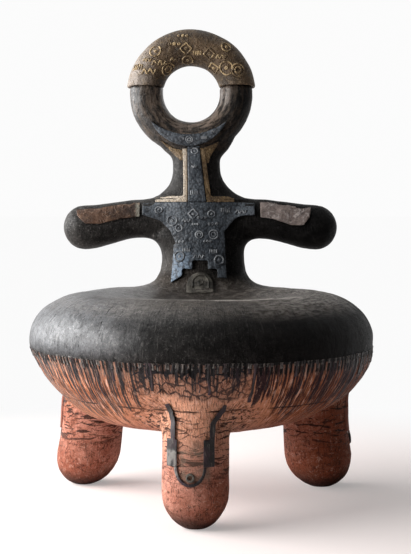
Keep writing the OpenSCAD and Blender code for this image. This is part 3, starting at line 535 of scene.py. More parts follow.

# %% [markdown]
# The slabs have finishes of their own. Slate is a blue-grey, pebbly clay on the
# front of the back. Low on its left it is paler and bluer: painted light. The
# plaque below it and the bosses on the legs are olive. Bronze is the leathery
# sleeve on the ring, tan is the thin strips beside the neck, and rust and rose
# are the slabs over the two arms. The sleeve's left end, the left strip and the
# inner end of the rust slab turn to a paler colour: painted light. Glaze is the
# dark, glossy slip of the runs and of the trim on the legs, with one silvery
# patch on the front leg's trim, at its left, which is a painted reflection, and
# bare clay on the rear straps' tails.

# %% Slate, olive, bronze, tan, rust, rose, glaze and the clay inside
def slate():
    f = Finish("slate")
    cloud = f.grain(13.0, 3.0, 0.6)
    pebble = f.cells(f.place, 190.0)
    grit = f.grain(300.0, 3.0, 0.7)
    # Painted light: low on the left the slate is paler and bluer.
    painted_light_low_left = f.step(f.z, 0.455, 0.415) * f.step(f.x, -0.012, -0.030)
    colour = f.layers(
        rgb(0.040, 0.049, 0.060),
        (f.step(cloud, 0.36, 0.64), rgb(0.085, 0.100, 0.118)),
        (painted_light_low_left * 0.75, rgb(0.190, 0.260, 0.350)),
        (f.step(pebble, 0.50, 0.80) * 0.75, rgb(0.008, 0.009, 0.012)),
        (f.step(grit, 0.56, 0.68) * 0.45, rgb(0.230, 0.255, 0.285)),
    )
    fine = f.relief(grit * 0.6 + pebble * -1.0, 0.0011)
    normal = f.relief(f.grain(55.0, 3.0), 0.0022, fine)
    shine = f.step(grit, 0.40, 0.60) * f.step(f.x, 0.03, -0.06) * 0.4
    return f.finish(colour, 0.42 + cloud * 0.2, normal, specular=0.35, coat=shine)


def worn(name, deep, bright):
    """The rubbed top of a raised line."""
    f = Finish(name)
    rub = f.grain(90.0, 3.0, 0.65)
    colour = f.blend(f.step(rub, 0.38, 0.62), deep, bright)
    return f.finish(colour, 0.36 + rub * 0.2, f.relief(rub, 0.0010), specular=0.4)


def olive():
    f = Finish("olive_clay")
    cloud = f.grain(40.0, 4.0, 0.65)
    grit = f.grain(240.0, 3.0, 0.7)
    colour = f.blend(f.step(cloud, 0.38, 0.62), rgb(0.018, 0.016, 0.013), rgb(0.105, 0.096, 0.080))
    normal = f.relief(cloud, 0.0035, f.relief(grit, 0.0012))
    return f.finish(colour, 0.46 + cloud * 0.2, normal, specular=0.3)


def leathery(name, deep, mid, bright, scale=1.0, painted_light_colour=None, painted_light_x=(0.0, 0.0)):
    """A pitted skin with fine raised veins. Past a given x it may turn to a lighter colour: painted
    light on the end where the light falls.
    """
    f = Finish(name)
    cloud = f.grain(16.0 * scale, 4.0, 0.6)
    pit = f.grain(120.0 * scale, 4.0, 0.65)
    warp = f.grain(34.0 * scale, 2.0, 0.5, 1.2)
    vein = f.step(abs(warp - 0.5), 0.022, 0.006)
    colour = f.blend(f.step(cloud, 0.34, 0.64), deep, mid)
    if painted_light_colour is not None:
        colour = f.blend(f.step(f.x, *painted_light_x), colour, painted_light_colour)
    colour = f.layers(
        colour,
        (f.step(pit, 0.50, 0.70) * 0.6, bright),
        (vein * 0.35, bright),
        (f.step(pit, 0.40, 0.28) * 0.7, rgb(0.010, 0.008, 0.007)),
    )
    fine = f.relief(pit * 1.0 + vein * 0.6, 0.0028)
    normal = f.relief(cloud + warp * 0.8, 0.0040, fine)
    return f.finish(colour, 0.42 + pit * 0.24, normal, specular=0.3)


def glaze():
    f = Finish("glaze")
    cloud = f.grain(30.0, 3.0, 0.6)
    grain = f.own_noise(f.x * 160.0, f.y * 160.0, f.z * 60.0, 3.0, 0.65)
    bare = f.step(f.y, -0.10, -0.05) * f.band(f.z, 0.100, 0.106, 0.244, 0.250)
    # Painted reflection: a silvery patch on the front leg's trim, at its left.
    painted_reflection_patch = (f.step(f.x, -0.022, -0.026) * f.step(f.y, -0.15, -0.20)
             * f.band(f.z, 0.088, 0.092, 0.132, 0.138))
    colour = f.layers(
        rgb(0.013, 0.011, 0.012),
        (f.step(cloud, 0.42, 0.62), rgb(0.040, 0.022, 0.030)),
        (bare, rgb(0.29, 0.105, 0.070)),
        (painted_reflection_patch * f.step(grain, 0.42, 0.54) * 0.75, rgb(0.230, 0.220, 0.205)),
        (f.step(grain, 0.56, 0.66) * 0.4, rgb(0.160, 0.150, 0.135)),
    )
    roughness = 0.34 + cloud * 0.16 + bare * 0.3
    return f.finish(colour, roughness, f.relief(grain, 0.0016), specular=0.4)


def plain_inside():
    f = Finish("inner_clay")
    cloud = f.grain(20.0, 4.0, 0.6)
    colour = f.blend(cloud, rgb(0.40, 0.25, 0.17), rgb(0.26, 0.15, 0.10))
    return f.finish(colour, 0.7 + cloud * 0.1, f.relief(cloud, 0.001))


SLATE = slate()
OLIVE = olive()
# Bronze, tan and rust turn paler at one end: painted light.
BRONZE = leathery("bronze", rgb(0.040, 0.028, 0.018), rgb(0.130, 0.086, 0.050),
                  rgb(0.240, 0.172, 0.098), painted_light_colour=rgb(0.250, 0.212, 0.182),
                  painted_light_x=(-0.075, -0.125))
TAN = leathery("tan", rgb(0.085, 0.052, 0.027), rgb(0.200, 0.130, 0.064),
               rgb(0.420, 0.310, 0.170), scale=1.6, painted_light_colour=rgb(0.450, 0.385, 0.310),
               painted_light_x=(-0.022, -0.034))
DEEP_TAN = leathery("deep_tan", rgb(0.060, 0.036, 0.019), rgb(0.165, 0.105, 0.050),
                    rgb(0.360, 0.262, 0.140), scale=1.6)
RUST = leathery("rust", rgb(0.028, 0.015, 0.010), rgb(0.118, 0.060, 0.035),
                rgb(0.250, 0.155, 0.100), painted_light_colour=rgb(0.215, 0.205, 0.170),
                painted_light_x=(-0.128, -0.121))
ROSE = leathery("rose", rgb(0.130, 0.100, 0.090), rgb(0.320, 0.260, 0.235),
                rgb(0.520, 0.470, 0.450))
DUSTY_SLIP = worn("dusty_slip", rgb(0.014, 0.013, 0.013), rgb(0.150, 0.135, 0.122))
WORN_SLATE = worn("worn_slate", rgb(0.060, 0.068, 0.080), rgb(0.250, 0.265, 0.280))
WORN_BRONZE = worn("worn_bronze", rgb(0.085, 0.056, 0.030), rgb(0.430, 0.315, 0.170))
GLAZE = glaze()
INSIDE = plain_inside()
print("Finishes:", len(bpy.data.materials))

# %% [markdown]
# The CAD pieces are exact, with flat facets and sharp butt joints. Real clay is
# pressed, scraped and luted, so its joints melt into each other. Melting copies
# the CAD meshes into one mesh, turns that into a fine even skin with the voxel
# Remesh modifier, and relaxes it, so fillets run on over the joints. Each copy
# is merged first, because a CAD mesh is loose triangles. Of the main clay, only
# the outer skin is kept.

# %% Melt CAD pieces into one skin
MERGE = 1e-6


def linked(name, mesh):
    piece = bpy.data.objects.new(name, mesh)
    scene.collection.objects.link(piece)
    return piece


def baked(piece, name):
    """The mesh that a piece's modifiers make. The piece itself goes."""
    depsgraph = bpy.context.evaluated_depsgraph_get()
    mesh = bpy.data.meshes.new_from_object(piece.evaluated_get(depsgraph))
    mesh.name = name
    bpy.data.objects.remove(piece)
    return mesh


@contextmanager
def editing(mesh):
    """The mesh as a bmesh, written back at the end."""
    body = bmesh.new()
    body.from_mesh(mesh)
    yield body
    body.to_mesh(mesh)
    body.free()


def numbers_of(items, name):
    """One vector for each vertex or face, as rows."""
    flat = np.empty(len(items) * 3, np.float32)
    items.foreach_get(name, flat)
    return flat.reshape(-1, 3).astype(float)


def move_points(mesh, points):
    low, high = np.array(cad_low), np.array(cad_high)
    mesh.vertices.foreach_set("co", np.clip(points, low, high).astype(np.float32).ravel())
    mesh.update()


def outer_skin(mesh):
    """Keeps the largest connected skin and drops the closed hollows inside it."""
    pairs = np.empty(len(mesh.edges) * 2, np.int32)
    mesh.edges.foreach_get("vertices", pairs)
    pairs = pairs.reshape(-1, 2)
    label = np.arange(len(mesh.vertices))
    while True:
        low = np.minimum(label[pairs[:, 0]], label[pairs[:, 1]])
        fresh = label.copy()
        np.minimum.at(fresh, pairs[:, 0], low)
        np.minimum.at(fresh, pairs[:, 1], low)
        fresh = fresh[fresh]
        if np.array_equal(fresh, label):
            break
        label = fresh
    biggest = np.bincount(label).argmax()
    with editing(mesh) as body:
        body.verts.ensure_lookup_table()
        gone = [body.verts[i] for i in np.flatnonzero(label != biggest)]
        bmesh.ops.delete(body, geom=gone, context="VERTS")


def remeshed(mesh, name, voxel, rounds):
    piece = linked(name, mesh)
    remesh = piece.modifiers.new("skin", "REMESH")
    remesh.mode = "VOXEL"
    remesh.voxel_size = voxel
    remesh.use_smooth_shade = True
    relax = piece.modifiers.new("relax", "SMOOTH")
    relax.factor = 0.5
    relax.iterations = rounds
    return baked(piece, name)


def melted(name, nodes, voxel, rounds, stoppers=()):
    whole = bmesh.new()
    for node in nodes:
        mesh = frame["nodes"][node].data.copy()
        with editing(mesh) as body:
            bmesh.ops.remove_doubles(body, verts=body.verts, dist=MERGE)
        whole.from_mesh(mesh)
        bpy.data.meshes.remove(mesh)
    for centre, radius, height in stoppers:
        disc = bmesh.ops.create_cone(
            whole, cap_ends=True, segments=32, radius1=radius, radius2=radius, depth=height
        )
        bmesh.ops.translate(whole, verts=disc["verts"], vec=centre)
    mesh = bpy.data.meshes.new(name)
    whole.to_mesh(mesh)
    whole.free()
    return remeshed(mesh, name, voxel, rounds)


# %% [markdown]
# Hands leave clay slightly uneven at three scales: a slow wobble of the whole
# form, dents as wide as a thumb, and small lumps. Each has a depth, a width and
# a place in the noise. The feet keep their flats, so the push fades out near
# the floor.

# %% Press the clay by hand
WOBBLE = (0.0016, 0.085, 3.1)
DENTS = (0.0008, 0.030, 7.7)
LUMPS = (0.0003, 0.009, 1.3)
INWARD = 0.0004
FEET = 0.02
SAG = (0.0055, 0, 0)
SAG_FADES = ((0.160, 0.040), (0.290, -0.050))


def level(points, size, shift):
    at = Vector((shift, 2 * shift, 3 * shift))
    return np.array([noise.noise(Vector(p) / size + at) for p in points])


def pressed(mesh, lumps=1.0):
    points = numbers_of(mesh.vertices, "co")
    normals = numbers_of(mesh.vertex_normals, "vector")
    push = -INWARD
    for (depth, size, shift), share in ((WOBBLE, 1.0), (DENTS, 1.0), (LUMPS, lumps)):
        push = push + depth * share * level(points, size, shift)
    standing = np.clip(points[:, 2] / FEET, 0, 1)
    move_points(mesh, points + normals * (push * standing)[:, None])


def smooth(values):
    values = np.clip(values, 0, 1)
    return values * values * (3 - 2 * values)


def leaned(points):
    """The thrown bowl sagged a few millimetres to the right below its seam."""
    share = 1.0
    for height, fade in SAG_FADES:
        share = share * smooth((points[:, 2] - height) / fade)
    return points + share[:, None] * np.array(SAG)


def smooth_shaded(mesh):
    mesh.polygons.foreach_set("use_smooth", np.ones(len(mesh.polygons), bool))
    mesh.update()


# %% [markdown]
# All of the main clay is melted at once. The vent under the bowl is stopped at
# its inner end first, so that the hollows inside are closed and fall away. The
# skin is then cut into one piece for each CAD piece: every face goes to the CAD
# piece that it lies nearest to, and each cut is closed by a hidden cap.

# %% The main clay
MAIN_NODES = ["seat_bowl", "seat_top", "front_leg", "rear_right_leg", "rear_left_leg",
              "trunk", "left_arm", "right_arm", "neck", "head_ring"]
BOWL_NODES = ["seat_bowl", "front_leg", "rear_right_leg", "rear_left_leg"]
VENT_STOPPER = ((0, 0, 0.154), 0.020, 0.008)
VOXEL = 0.0029
RELAX_ROUNDS = 14


def tree_of(meshes):
    """A search tree over some meshes, and the number of the mesh of each face."""
    corners, triangles, owners = [], [], []
    for index, source in enumerate(meshes):
        start = len(corners)
        corners += [v.co.copy() for v in source.vertices]
        for polygon in source.polygons:
            triangles.append([start + k for k in polygon.vertices])
            owners.append(index)
    return BVHTree.FromPolygons(corners, triangles), owners


CAD_TREE, CAD_OWNERS = tree_of([frame["nodes"][node].data for node in MAIN_NODES])


def nearest_node_of_faces(mesh):
    return [CAD_OWNERS[CAD_TREE.find_nearest(polygon.center)[2]] for polygon in mesh.polygons]


def cut_out(mesh, name, owners, index):
    """The faces that one CAD piece owns, with the holes at the cuts closed."""
    made = mesh.copy()
    made.name = name
    with editing(made) as part:
        part.faces.ensure_lookup_table()
        others = [face for face, owner in zip(part.faces, owners) if owner != index]
        bmesh.ops.delete(part, geom=others, context="FACES")
        rim = [edge for edge in part.edges if edge.is_boundary]
        for edge in rim:
            edge.smooth = False
        caps = bmesh.ops.holes_fill(part, edges=rim, sides=0)["faces"]
        bmesh.ops.triangulate(part, faces=caps)
    return made


def shade_painted_edges(mesh, rise):
    """The faces that turn away from the front get the second, black finish: a painted shadow line
    along the edges.
    """
    mesh.materials.append(BLACK)
    away = numbers_of(mesh.polygons, "normal")[:, 1] > -rise
    mesh.polygons.foreach_set("material_index", away.astype(np.int32))


def placed(name, mesh, finish, slot, node=None, shade_rise=None):
    """A finished piece on the chair. It may stand for a CAD node."""
    mesh.materials.clear()
    mesh.materials.append(finish)
    # Black edges, where asked for, are a painted shadow line.
    if shade_rise is not None:
        shade_painted_edges(mesh, shade_rise)
    piece = linked(name, mesh)
    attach(piece, "root")
    if node is not None:
        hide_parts(node)
    print(name, len(mesh.polygons), "faces")
    return piece


skin = melted("main_clay", MAIN_NODES, VOXEL, RELAX_ROUNDS, [VENT_STOPPER])
outer_skin(skin)
owners = nearest_node_of_faces(skin)
pressed(skin)
move_points(skin, leaned(numbers_of(skin.vertices, "co")))
smooth_shaded(skin)
SKIN_TREE, _ = tree_of([skin])
for index, node in enumerate(MAIN_NODES):
    look = (TERRACOTTA, "bowl_clay") if node in BOWL_NODES else (BLACK, "black_clay")
    placed(node + "_clay", cut_out(skin, node + "_clay", owners, index), *look, node)
bpy.data.meshes.remove(skin)

# %% [markdown]
# The slabs, the strips and the trim on the legs are laid on, so each is melted
# by itself at a finer size and keeps a crisp but soft edge. The faces of the
# slabs, the plaque and the strips that turn away from the front get the black
# finish: a painted shadow line round their edges. The clay below has moved a
# little since the CAD model, where it was melted, pressed and leaned. Each point
# of a slab therefore finds the CAD face that it lay over, and goes as far as the
# clay went there. The sleeve on the ring is pressed instead.

# %% Slabs, strips, sleeve and trim
SEARCH = 0.012
FARTHEST = 0.008
EVENING_ROUNDS = 6
OWN_SHARE = 0.4
SLAB_RISE = 0.62
SLAB_COARSER = 1.0


def laid_on_clay(mesh):
    points = numbers_of(mesh.vertices, "co")
    moved = np.zeros_like(points)
    for k, point in enumerate(points):
        below, normal = CAD_TREE.find_nearest(point)[:2]
        hit = SKIN_TREE.ray_cast(below + normal * SEARCH, -normal, 2 * SEARCH)[0]
        if hit is None:
            hit = SKIN_TREE.find_nearest(below)[0]
        moved[k] = np.clip(np.array(hit - below), -FARTHEST, FARTHEST)
    pairs = np.array([edge.vertices[:] for edge in mesh.edges])
    count = np.maximum(np.bincount(pairs.ravel(), minlength=len(points)), 1)[:, None]
    for _ in range(EVENING_ROUNDS):
        total = np.zeros_like(moved)
        np.add.at(total, pairs[:, 0], moved[pairs[:, 1]])
        np.add.at(total, pairs[:, 1], moved[pairs[:, 0]])
        moved = OWN_SHARE * moved + (1 - OWN_SHARE) * total / count
    move_points(mesh, points + moved)


LAID_ON = {
    "ring_sleeve": (BRONZE, "bronze_clay", 0.0021, 5),
    "ring_crescent": (SLATE, "slate_clay", 0.0014, 3),
    "neck_slab": (SLATE, "slate_clay", 0.0013, 3),
    "chest_slab": (SLATE, "slate_clay", 0.0016, 3),
    "base_plaque": (OLIVE, "slate_clay", 0.0012, 3),
    "left_neck_strip": (TAN, "tan_clay", 0.0011, 3),
    "right_neck_strip": (TAN, "tan_clay", 0.0011, 3),
    "left_arm_slab": (RUST, "tan_clay", 0.0013, 3),
    "right_arm_slab": (ROSE, "tan_clay", 0.0013, 3),
}
for leg in ("front", "rear_right", "rear_left"):
    for part in ("strap_left", "strap_right", "loop", "boss"):
        finish = OLIVE if part == "boss" else GLAZE
        LAID_ON[leg + "_" + part] = (finish, "trim_clay", 0.0010, 3)

slabs = {}
for node, (finish, slot, voxel, rounds) in LAID_ON.items():
    mesh = melted(node + "_clay", [node], voxel * SLAB_COARSER, rounds)
    if node == "ring_sleeve":
        pressed(mesh, lumps=0.5)
    else:
        laid_on_clay(mesh)
    smooth_shaded(mesh)
    # The slabs, the plaque and the strips get black edges as a painted shadow line.
    rise = SLAB_RISE if slot in ("slate_clay", "tan_clay") else None
    slabs[node] = placed(node + "_clay", mesh, finish, slot, node, rise)

# %% [markdown]
# Under the crescent the two tan strips spread into wings that follow its lower
# edge, and the neck slab ends in a tongue between them. Each is drawn as the
# flat outline that shows from in front. It is filled with small triangles, each
# corner moves along the line of sight to the clay, and the sheet that this
# makes gets an even thickness.

# %% Wings and tongue under the crescent
IN_FRONT = -0.5
SUNK = 0.0015
LONGEST_EDGE = 0.004
MOST_CUTS = 5
WING_RISE = 0.50
WING_COARSER = 1.0


def seen_from_front(tree, x, z):
    """The point and the normal that a line from in front meets first."""
    return tree.ray_cast(Vector((x, IN_FRONT, z)), Vector((0, 1, 0)))[:2]


def thrown_on_clay(name, outline, thickness, voxel, finish, slot):
    """An outline seen from in front, as a piece of even thickness."""
    mesh = bpy.data.meshes.new(name)
    with editing(mesh) as flat:
        flat.faces.new([flat.verts.new((x, 0.0, z)) for x, z in outline])
        bmesh.ops.triangulate(flat, faces=flat.faces[:])
        for _ in range(MOST_CUTS):
            long = [edge for edge in flat.edges if edge.calc_length() > LONGEST_EDGE]
            if not long:
                break
            bmesh.ops.subdivide_edges(flat, edges=long, cuts=1)
            bmesh.ops.triangulate(flat, faces=flat.faces[:])
        for vert in flat.verts:
            hit, normal = seen_from_front(SKIN_TREE, vert.co.x, vert.co.z)
            vert.co = hit - normal * SUNK
        bmesh.ops.recalc_face_normals(flat, faces=flat.faces[:])
        if sum(face.normal.y for face in flat.faces) > 0:
            bmesh.ops.reverse_faces(flat, faces=flat.faces[:])
        front = bmesh.ops.extrude_face_region(flat, geom=flat.faces[:])["geom"]
        for vert in front:
            if isinstance(vert, bmesh.types.BMVert):
                vert.co += SKIN_TREE.find_nearest(vert.co)[1] * (thickness + SUNK)
        bmesh.ops.recalc_face_normals(flat, faces=flat.faces[:])
    mesh = remeshed(mesh, name, voxel * WING_COARSER, 3)
    smooth_shaded(mesh)
    # Its faces that turn away from the front get the black finish, as painted shade.
    placed(name, mesh, finish, slot, shade_rise=WING_RISE)


LEFT_WING = ((-0.079, 0.6535), (-0.066, 0.6440), (-0.0520, 0.6365), (-0.0395, 0.6325),
             (-0.0260, 0.6305), (-0.0260, 0.6120), (-0.0400, 0.6120), (-0.0500, 0.6215),
             (-0.0600, 0.6320), (-0.0710, 0.6440))
RIGHT_WING = ((-0.0030, 0.6340), (0.0085, 0.6380), (0.0200, 0.6430), (0.0330, 0.6490),
              (0.0295, 0.6390), (0.0220, 0.6275), (0.0160, 0.6165), (0.0140, 0.6070),
              (0.0060, 0.6070), (0.0020, 0.6190), (-0.0030, 0.6225))
TONGUE = ((-0.0260, 0.6400), (-0.0035, 0.6400), (-0.0025, 0.6180), (-0.0270, 0.6180))
thrown_on_clay("left_wing", LEFT_WING, 0.0022, 0.0011, DEEP_TAN, "tan_clay")
thrown_on_clay("right_wing", RIGHT_WING, 0.0022, 0.0011, DEEP_TAN, "tan_clay")
thrown_on_clay("neck_tongue", TONGUE, 0.0030, 0.0012, SLATE, "slate_clay")

# %% [markdown]
# The small arched plaque under the chest slab carries a second, raised arch
# with a coil in it. Both are thin rolls of clay. A roll is a curve with a round
# bevel, laid on the plaque where a line from in front meets it. The three slabs
# inside the seat are never seen, and keep their CAD meshes.

# %% Rolls of clay on the plaque
ARCH = {"x": -0.0015, "foot": 0.3730, "half": 0.0150, "rise": 0.0090}
COIL_Z = 0.3835
COIL_START = 0.0022
COIL_TURN = 11
COIL_DOUBLES = 7
ARCH_ROLL = 0.0016
COIL_ROLL = 0.0013


def rolled(name, path, radius):
    curve = bpy.data.curves.new(name, "CURVE")
    curve.dimensions = "3D"
    curve.bevel_depth = radius
    curve.bevel_resolution = 3
    curve.use_fill_caps = True
    spline = curve.splines.new("POLY")
    spline.points.add(len(path) - 1)
    for point, (x, z) in zip(spline.points, path):
        point.co = (*seen_from_front(PLAQUE_TREE, x, z)[0], 1.0)
    mesh = baked(linked(name, curve), name)
    with editing(mesh) as body:
        bmesh.ops.remove_doubles(body, verts=body.verts, dist=MERGE)
        bmesh.ops.recalc_face_normals(body, faces=body.faces[:])
    smooth_shaded(mesh)
    placed(name, mesh, OLIVE, "slate_clay")


def arch_path(x, foot, half, rise, count=24):
    turns = [math.pi * (1 - k / count) for k in range(count + 1)]
    curve = [(x + half * math.cos(t), foot + rise + half * math.sin(t)) for t in turns]
    return [(x - half, foot), *curve, (x + half, foot)]


def coil_path(x, z, start, turn, count=40):
    """A spiral whose radius has doubled after a turn of COIL_DOUBLES radians."""
    spiral = [(t, start * (1 + t / COIL_DOUBLES)) for t in np.linspace(0, turn, count)]
    return [(x + r * math.cos(t), z + r * math.sin(t)) for t, r in spiral]


PLAQUE_TREE, _ = tree_of([slabs["base_plaque"].data])
rolled("plaque_arch", arch_path(**ARCH), ARCH_ROLL)
rolled("plaque_coil", coil_path(ARCH["x"], COIL_Z, COIL_START, COIL_TURN), COIL_ROLL)

for node in ("rib_front", "rib_rear_right", "rib_rear_left"):
    piece = frame["nodes"][node]
    piece.data.materials.clear()
    piece.data.materials.append(INSIDE)

# %% [markdown]
# What repeats is made by Geometry Nodes trees. Making is a Tree with named
# inputs for its sizes and short methods for the nodes that are used most. A
# tree is run once, and its result is kept as a plain mesh.

# %% How a tree of Geometry Nodes is put together
class Making(Tree):
    def __init__(self, name, sizes, takes_mesh=False):
        self.group = bpy.data.node_groups.new(name, "GeometryNodeTree")
        super().__init__(self.group)
        kinds = {int: "NodeSocketInt", float: "NodeSocketFloat"}
        self.ids = {}
        if takes_mesh:
            self.face("Geometry", "INPUT", "NodeSocketGeometry")
        for size, value in sizes.items():
            self.ids[size] = self.face(size, "INPUT", kinds[type(value)])
        self.ids["Finish"] = self.face("Finish", "INPUT", "NodeSocketMaterial")
        self.face("Geometry", "OUTPUT", "NodeSocketGeometry")
        self.entry = self.node("NodeGroupInput")
        self.sizes = {size: Value(self, self.entry.outputs[size]) for size in self.ids}

    def face(self, name, way, kind):
        socket = self.group.interface.new_socket(name, in_out=way, socket_type=kind)
        return socket.identifier

    def random(self, low, high, seed, kind="FLOAT", by=None):
        """A random number. Numbers of a kind have sockets of their own in the node."""
        first = {"FLOAT": 2, "INT": 4}[kind]
        inputs = {first: low, first + 1: high, "Seed": seed}
        if by is not None:
            inputs["ID"] = by
        made = self.node("FunctionNodeRandomValue", {"data_type": kind}, inputs)
        return Value(self, made.outputs[first // 2])

    def position(self):
        return self.result("GeometryNodeInputPosition")

    def moved(self, geometry, **by):
        return self.result("GeometryNodeSetPosition", None, {"Geometry": geometry, **by})

    def circle(self, radius, count=20):
        return self.result("GeometryNodeCurvePrimitiveCircle", {"mode": "RADIUS"},
                           {"Resolution": count, "Radius": radius})

    def resampled(self, curve, count):
        return self.result("GeometryNodeResampleCurve", None, {"Curve": curve, "Count": count})

    def line(self, start, end, count):
        drawn = self.result("GeometryNodeCurvePrimitiveLine", None, {"Start": start, "End": end})
        return self.resampled(drawn, count)

    def joined(self, *shapes):
        made = self.node("GeometryNodeJoinGeometry")
        for shape in shapes:
            self.links.new(shape, made.inputs[0])
        return made.outputs[0]

    def realized(self, instances):
        return self.result("GeometryNodeRealizeInstances", None, {0: instances})

    def give(self, geometry):
        """Realize, dress and hand out."""
        dressed = self.result("GeometryNodeSetMaterial", None, {
            "Geometry": self.realized(geometry), "Material": self.sizes["Finish"]})
        self.node("NodeGroupOutput", None, {0: dressed})


def made_by(tree, name, sizes, source=None):
    """Runs a tree once and returns what it makes as a plain mesh."""
    carrier = linked(name, source.data.copy() if source else bpy.data.meshes.new(name))
    modifier = carrier.modifiers.new("making", "NODES")
    modifier.node_group = tree.group
    for size, value in sizes.items():
        modifier[tree.ids[size]] = value
    return baked(carrier, name)


# %% [markdown]
# The thickest runs of slip stand up from the bowl. Their tree draws them on a
# flat unrolled sheet, where a run is a straight line of random length that
# sways a little and ends in a bead. It then wraps the sheet round the bowl,
# whose side is a lean quarter ellipse: its cosine and sine carry a power.

# %% A tree for runs of slip
SEAT_R = 0.308
BELLY_Z = 0.293
BOWL_H = 0.154
BOWL_REACH = 0.180
SIDE_POWER = 2 / 1.84
SEAM_ANGLE = math.asin(((BELLY_Z - SEAM_Z) / BOWL_H) ** (1 / SIDE_POWER))
SHEET_PER_RADIAN = 0.158

runs = Making("glaze_runs", {
    "Count": 60, "Spacing": 0.01, "Shortest": 0.02, "Longest": 0.1, "Thinnest": 0.001,
    "Widest": 0.003, "Sway": 0.004, "Flatness": 0.5, "Seed": 0})
size = runs.sizes
row = runs.result("GeometryNodeMeshLine", {"mode": "OFFSET"},
                  {"Count": size["Count"], "Offset": runs.join(size["Spacing"], 0.0, 0.0)})
jitter = runs.random(-0.45, 0.45, size["Seed"]) * size["Spacing"]
spread = runs.moved(row, Offset=runs.join(jitter, 0.0, 0.0))
# The powers make most runs short and thin.
lot = runs.random(0.0, 1.0, size["Seed"] + 11.0)
long = size["Shortest"] + (size["Longest"] - size["Shortest"]) * lot ** 2.2
hung = runs.result("GeometryNodeInstanceOnPoints", None, {
    "Points": spread, "Instance": runs.line((0, 0, 0), (0, 0, -1), 18),
    "Scale": runs.join(1.0, 1.0, long)})
along = Value(runs, runs.result("GeometryNodeSplineParameter"))
sway = runs.noise(runs.position(), 26.0, 2.0) - 0.5
bent = runs.moved(runs.realized(hung), Offset=runs.join(sway * along * size["Sway"] * 4.0, 0.0, 0.0))
curve_index = runs.node("GeometryNodeCurveOfPoint").outputs["Curve Index"]
fat = size["Thinnest"] + (size["Widest"] - size["Thinnest"]) * runs.random(
    0.0, 1.0, size["Seed"] + 23.0, by=curve_index) ** 1.6
bead = runs.step(along, 0.55, 0.93) * 0.55
root = runs.step(along, 0.16, 0.0) * 0.8
thick = runs.result("GeometryNodeSetCurveRadius", None,
                    {"Curve": bent, "Radius": fat * (0.72 + bead + root)})
solid = runs.result("GeometryNodeCurveToMesh", None, {
    "Curve": thick, "Profile Curve": runs.circle(1.0, 8), "Fill Caps": True,
    "Scale": runs.result("GeometryNodeInputRadius")})
sheet_x, sheet_y, sheet_z = runs.split(runs.position())
turn = sheet_x / SEAT_R
slope = SEAM_ANGLE - sheet_z / SHEET_PER_RADIAN
height = sheet_y * size["Flatness"]
across = runs.math("COSINE", slope) ** SIDE_POWER
down = runs.math("SINE", slope) ** SIDE_POWER
out = (SEAT_R - BOWL_REACH) + (BOWL_REACH + height) * across
runs.give(runs.moved(solid, Position=runs.join(
    out * runs.math("COSINE", turn), out * runs.math("SINE", turn),
    BELLY_Z - (BOWL_H + height) * down)))

# %% [markdown]
# The tree runs twice: for the dusty fringe right below the seam, with one ridge
# for each nick of the pattern, and for the longer, glossy runs. Both are then
# laid on the clay in the way of the slabs.

# %% The fringe of ridges and the thick runs
RUNS = 90
for name, count, finish, sizes in (
    ("seam_fringe", TEETH, DUSTY_SLIP, {
        "Shortest": 0.008, "Longest": 0.018, "Thinnest": 0.0012, "Widest": 0.0022,
        "Sway": 0.002, "Flatness": 0.55, "Seed": 4}),
    ("glaze_runs", RUNS, GLAZE, {
        "Shortest": 0.016, "Longest": 0.080, "Thinnest": 0.0008, "Widest": 0.0030,
        "Sway": 0.006, "Flatness": 0.30, "Seed": 9}),
):
    spacing = 2 * math.pi * SEAT_R / count
    mesh = made_by(runs, name, {"Count": count, "Spacing": spacing, "Finish": finish, **sizes})
    laid_on_clay(mesh)
    smooth_shaded(mesh)
    placed(name, mesh, finish, "trim_clay")

# %% [markdown]
# Small signs of thin rolled clay stand up from the slabs and from the sleeve.
# Here they are plain ornaments: double rings, a ring round a dot, a wave, a row
# of short strokes, a lozenge round a dot and three beads. A second tree scatters
# them over a slab's front by a random but even spread, turns each to the
# surface, pulls its line down onto the slab, and only then makes the line thick.

# %% A tree for raised ornaments
DENSEST = 90000.0


def beads_of(tree):
    return tree.joined(*(
        tree.result("GeometryNodeTransform", None,
                    {"Geometry": tree.circle(0.17, 8), "Translation": (x, 0, 0)})
        for x in (-0.7, 0.0, 0.7)))


def wave_of(tree):
    x, _, _ = tree.split(tree.position())
    rise = tree.math("SINE", x * 7.5) * 0.32
    return tree.moved(tree.line((-1, 0, 0), (1, 0, 0), 24), Offset=tree.join(0.0, rise, 0.0))


def lozenge_of(tree):
    square = tree.result("GeometryNodeCurvePrimitiveQuadrilateral", {"mode": "RECTANGLE"},
                         {0: 1.3, 1: 1.3})
    turned = tree.result("GeometryNodeTransform", None,
                         {"Geometry": square, "Rotation": (0, 0, math.pi / 4)})
    return tree.resampled(turned, 24)


signs = Making("raised_ornaments", {"Spacing": 0.018, "Half Width": 0.006, "Line": 0.0007,
                                    "Seed": 0}, takes_mesh=True)
size = signs.sizes
ground = signs.entry.outputs["Geometry"]
shapes = [
    signs.joined(signs.circle(1.0), signs.circle(0.5, 14)),
    signs.joined(signs.circle(0.9), signs.circle(0.16, 8)),
    wave_of(signs),
    signs.joined(*(signs.line((x, -0.45, 0), (x, 0.45, 0), 8) for x in (-0.8, -0.4, 0, 0.4, 0.8))),
    signs.joined(lozenge_of(signs), signs.circle(0.16, 8)),
    beads_of(signs),
]
stock = signs.joined(*(signs.result("GeometryNodeGeometryToInstance", None, {0: shape})
                       for shape in shapes))
clear = signs.result("GeometryNodeInputNamedAttribute", {"data_type": "BOOLEAN"},
                     {"Name": "clear_of_edges"})
spots = signs.node(
    "GeometryNodeDistributePointsOnFaces", {"distribute_method": "POISSON"},
    {"Mesh": ground, "Selection": clear, "Distance Min": size["Spacing"],
     "Density Max": DENSEST, "Seed": size["Seed"]})
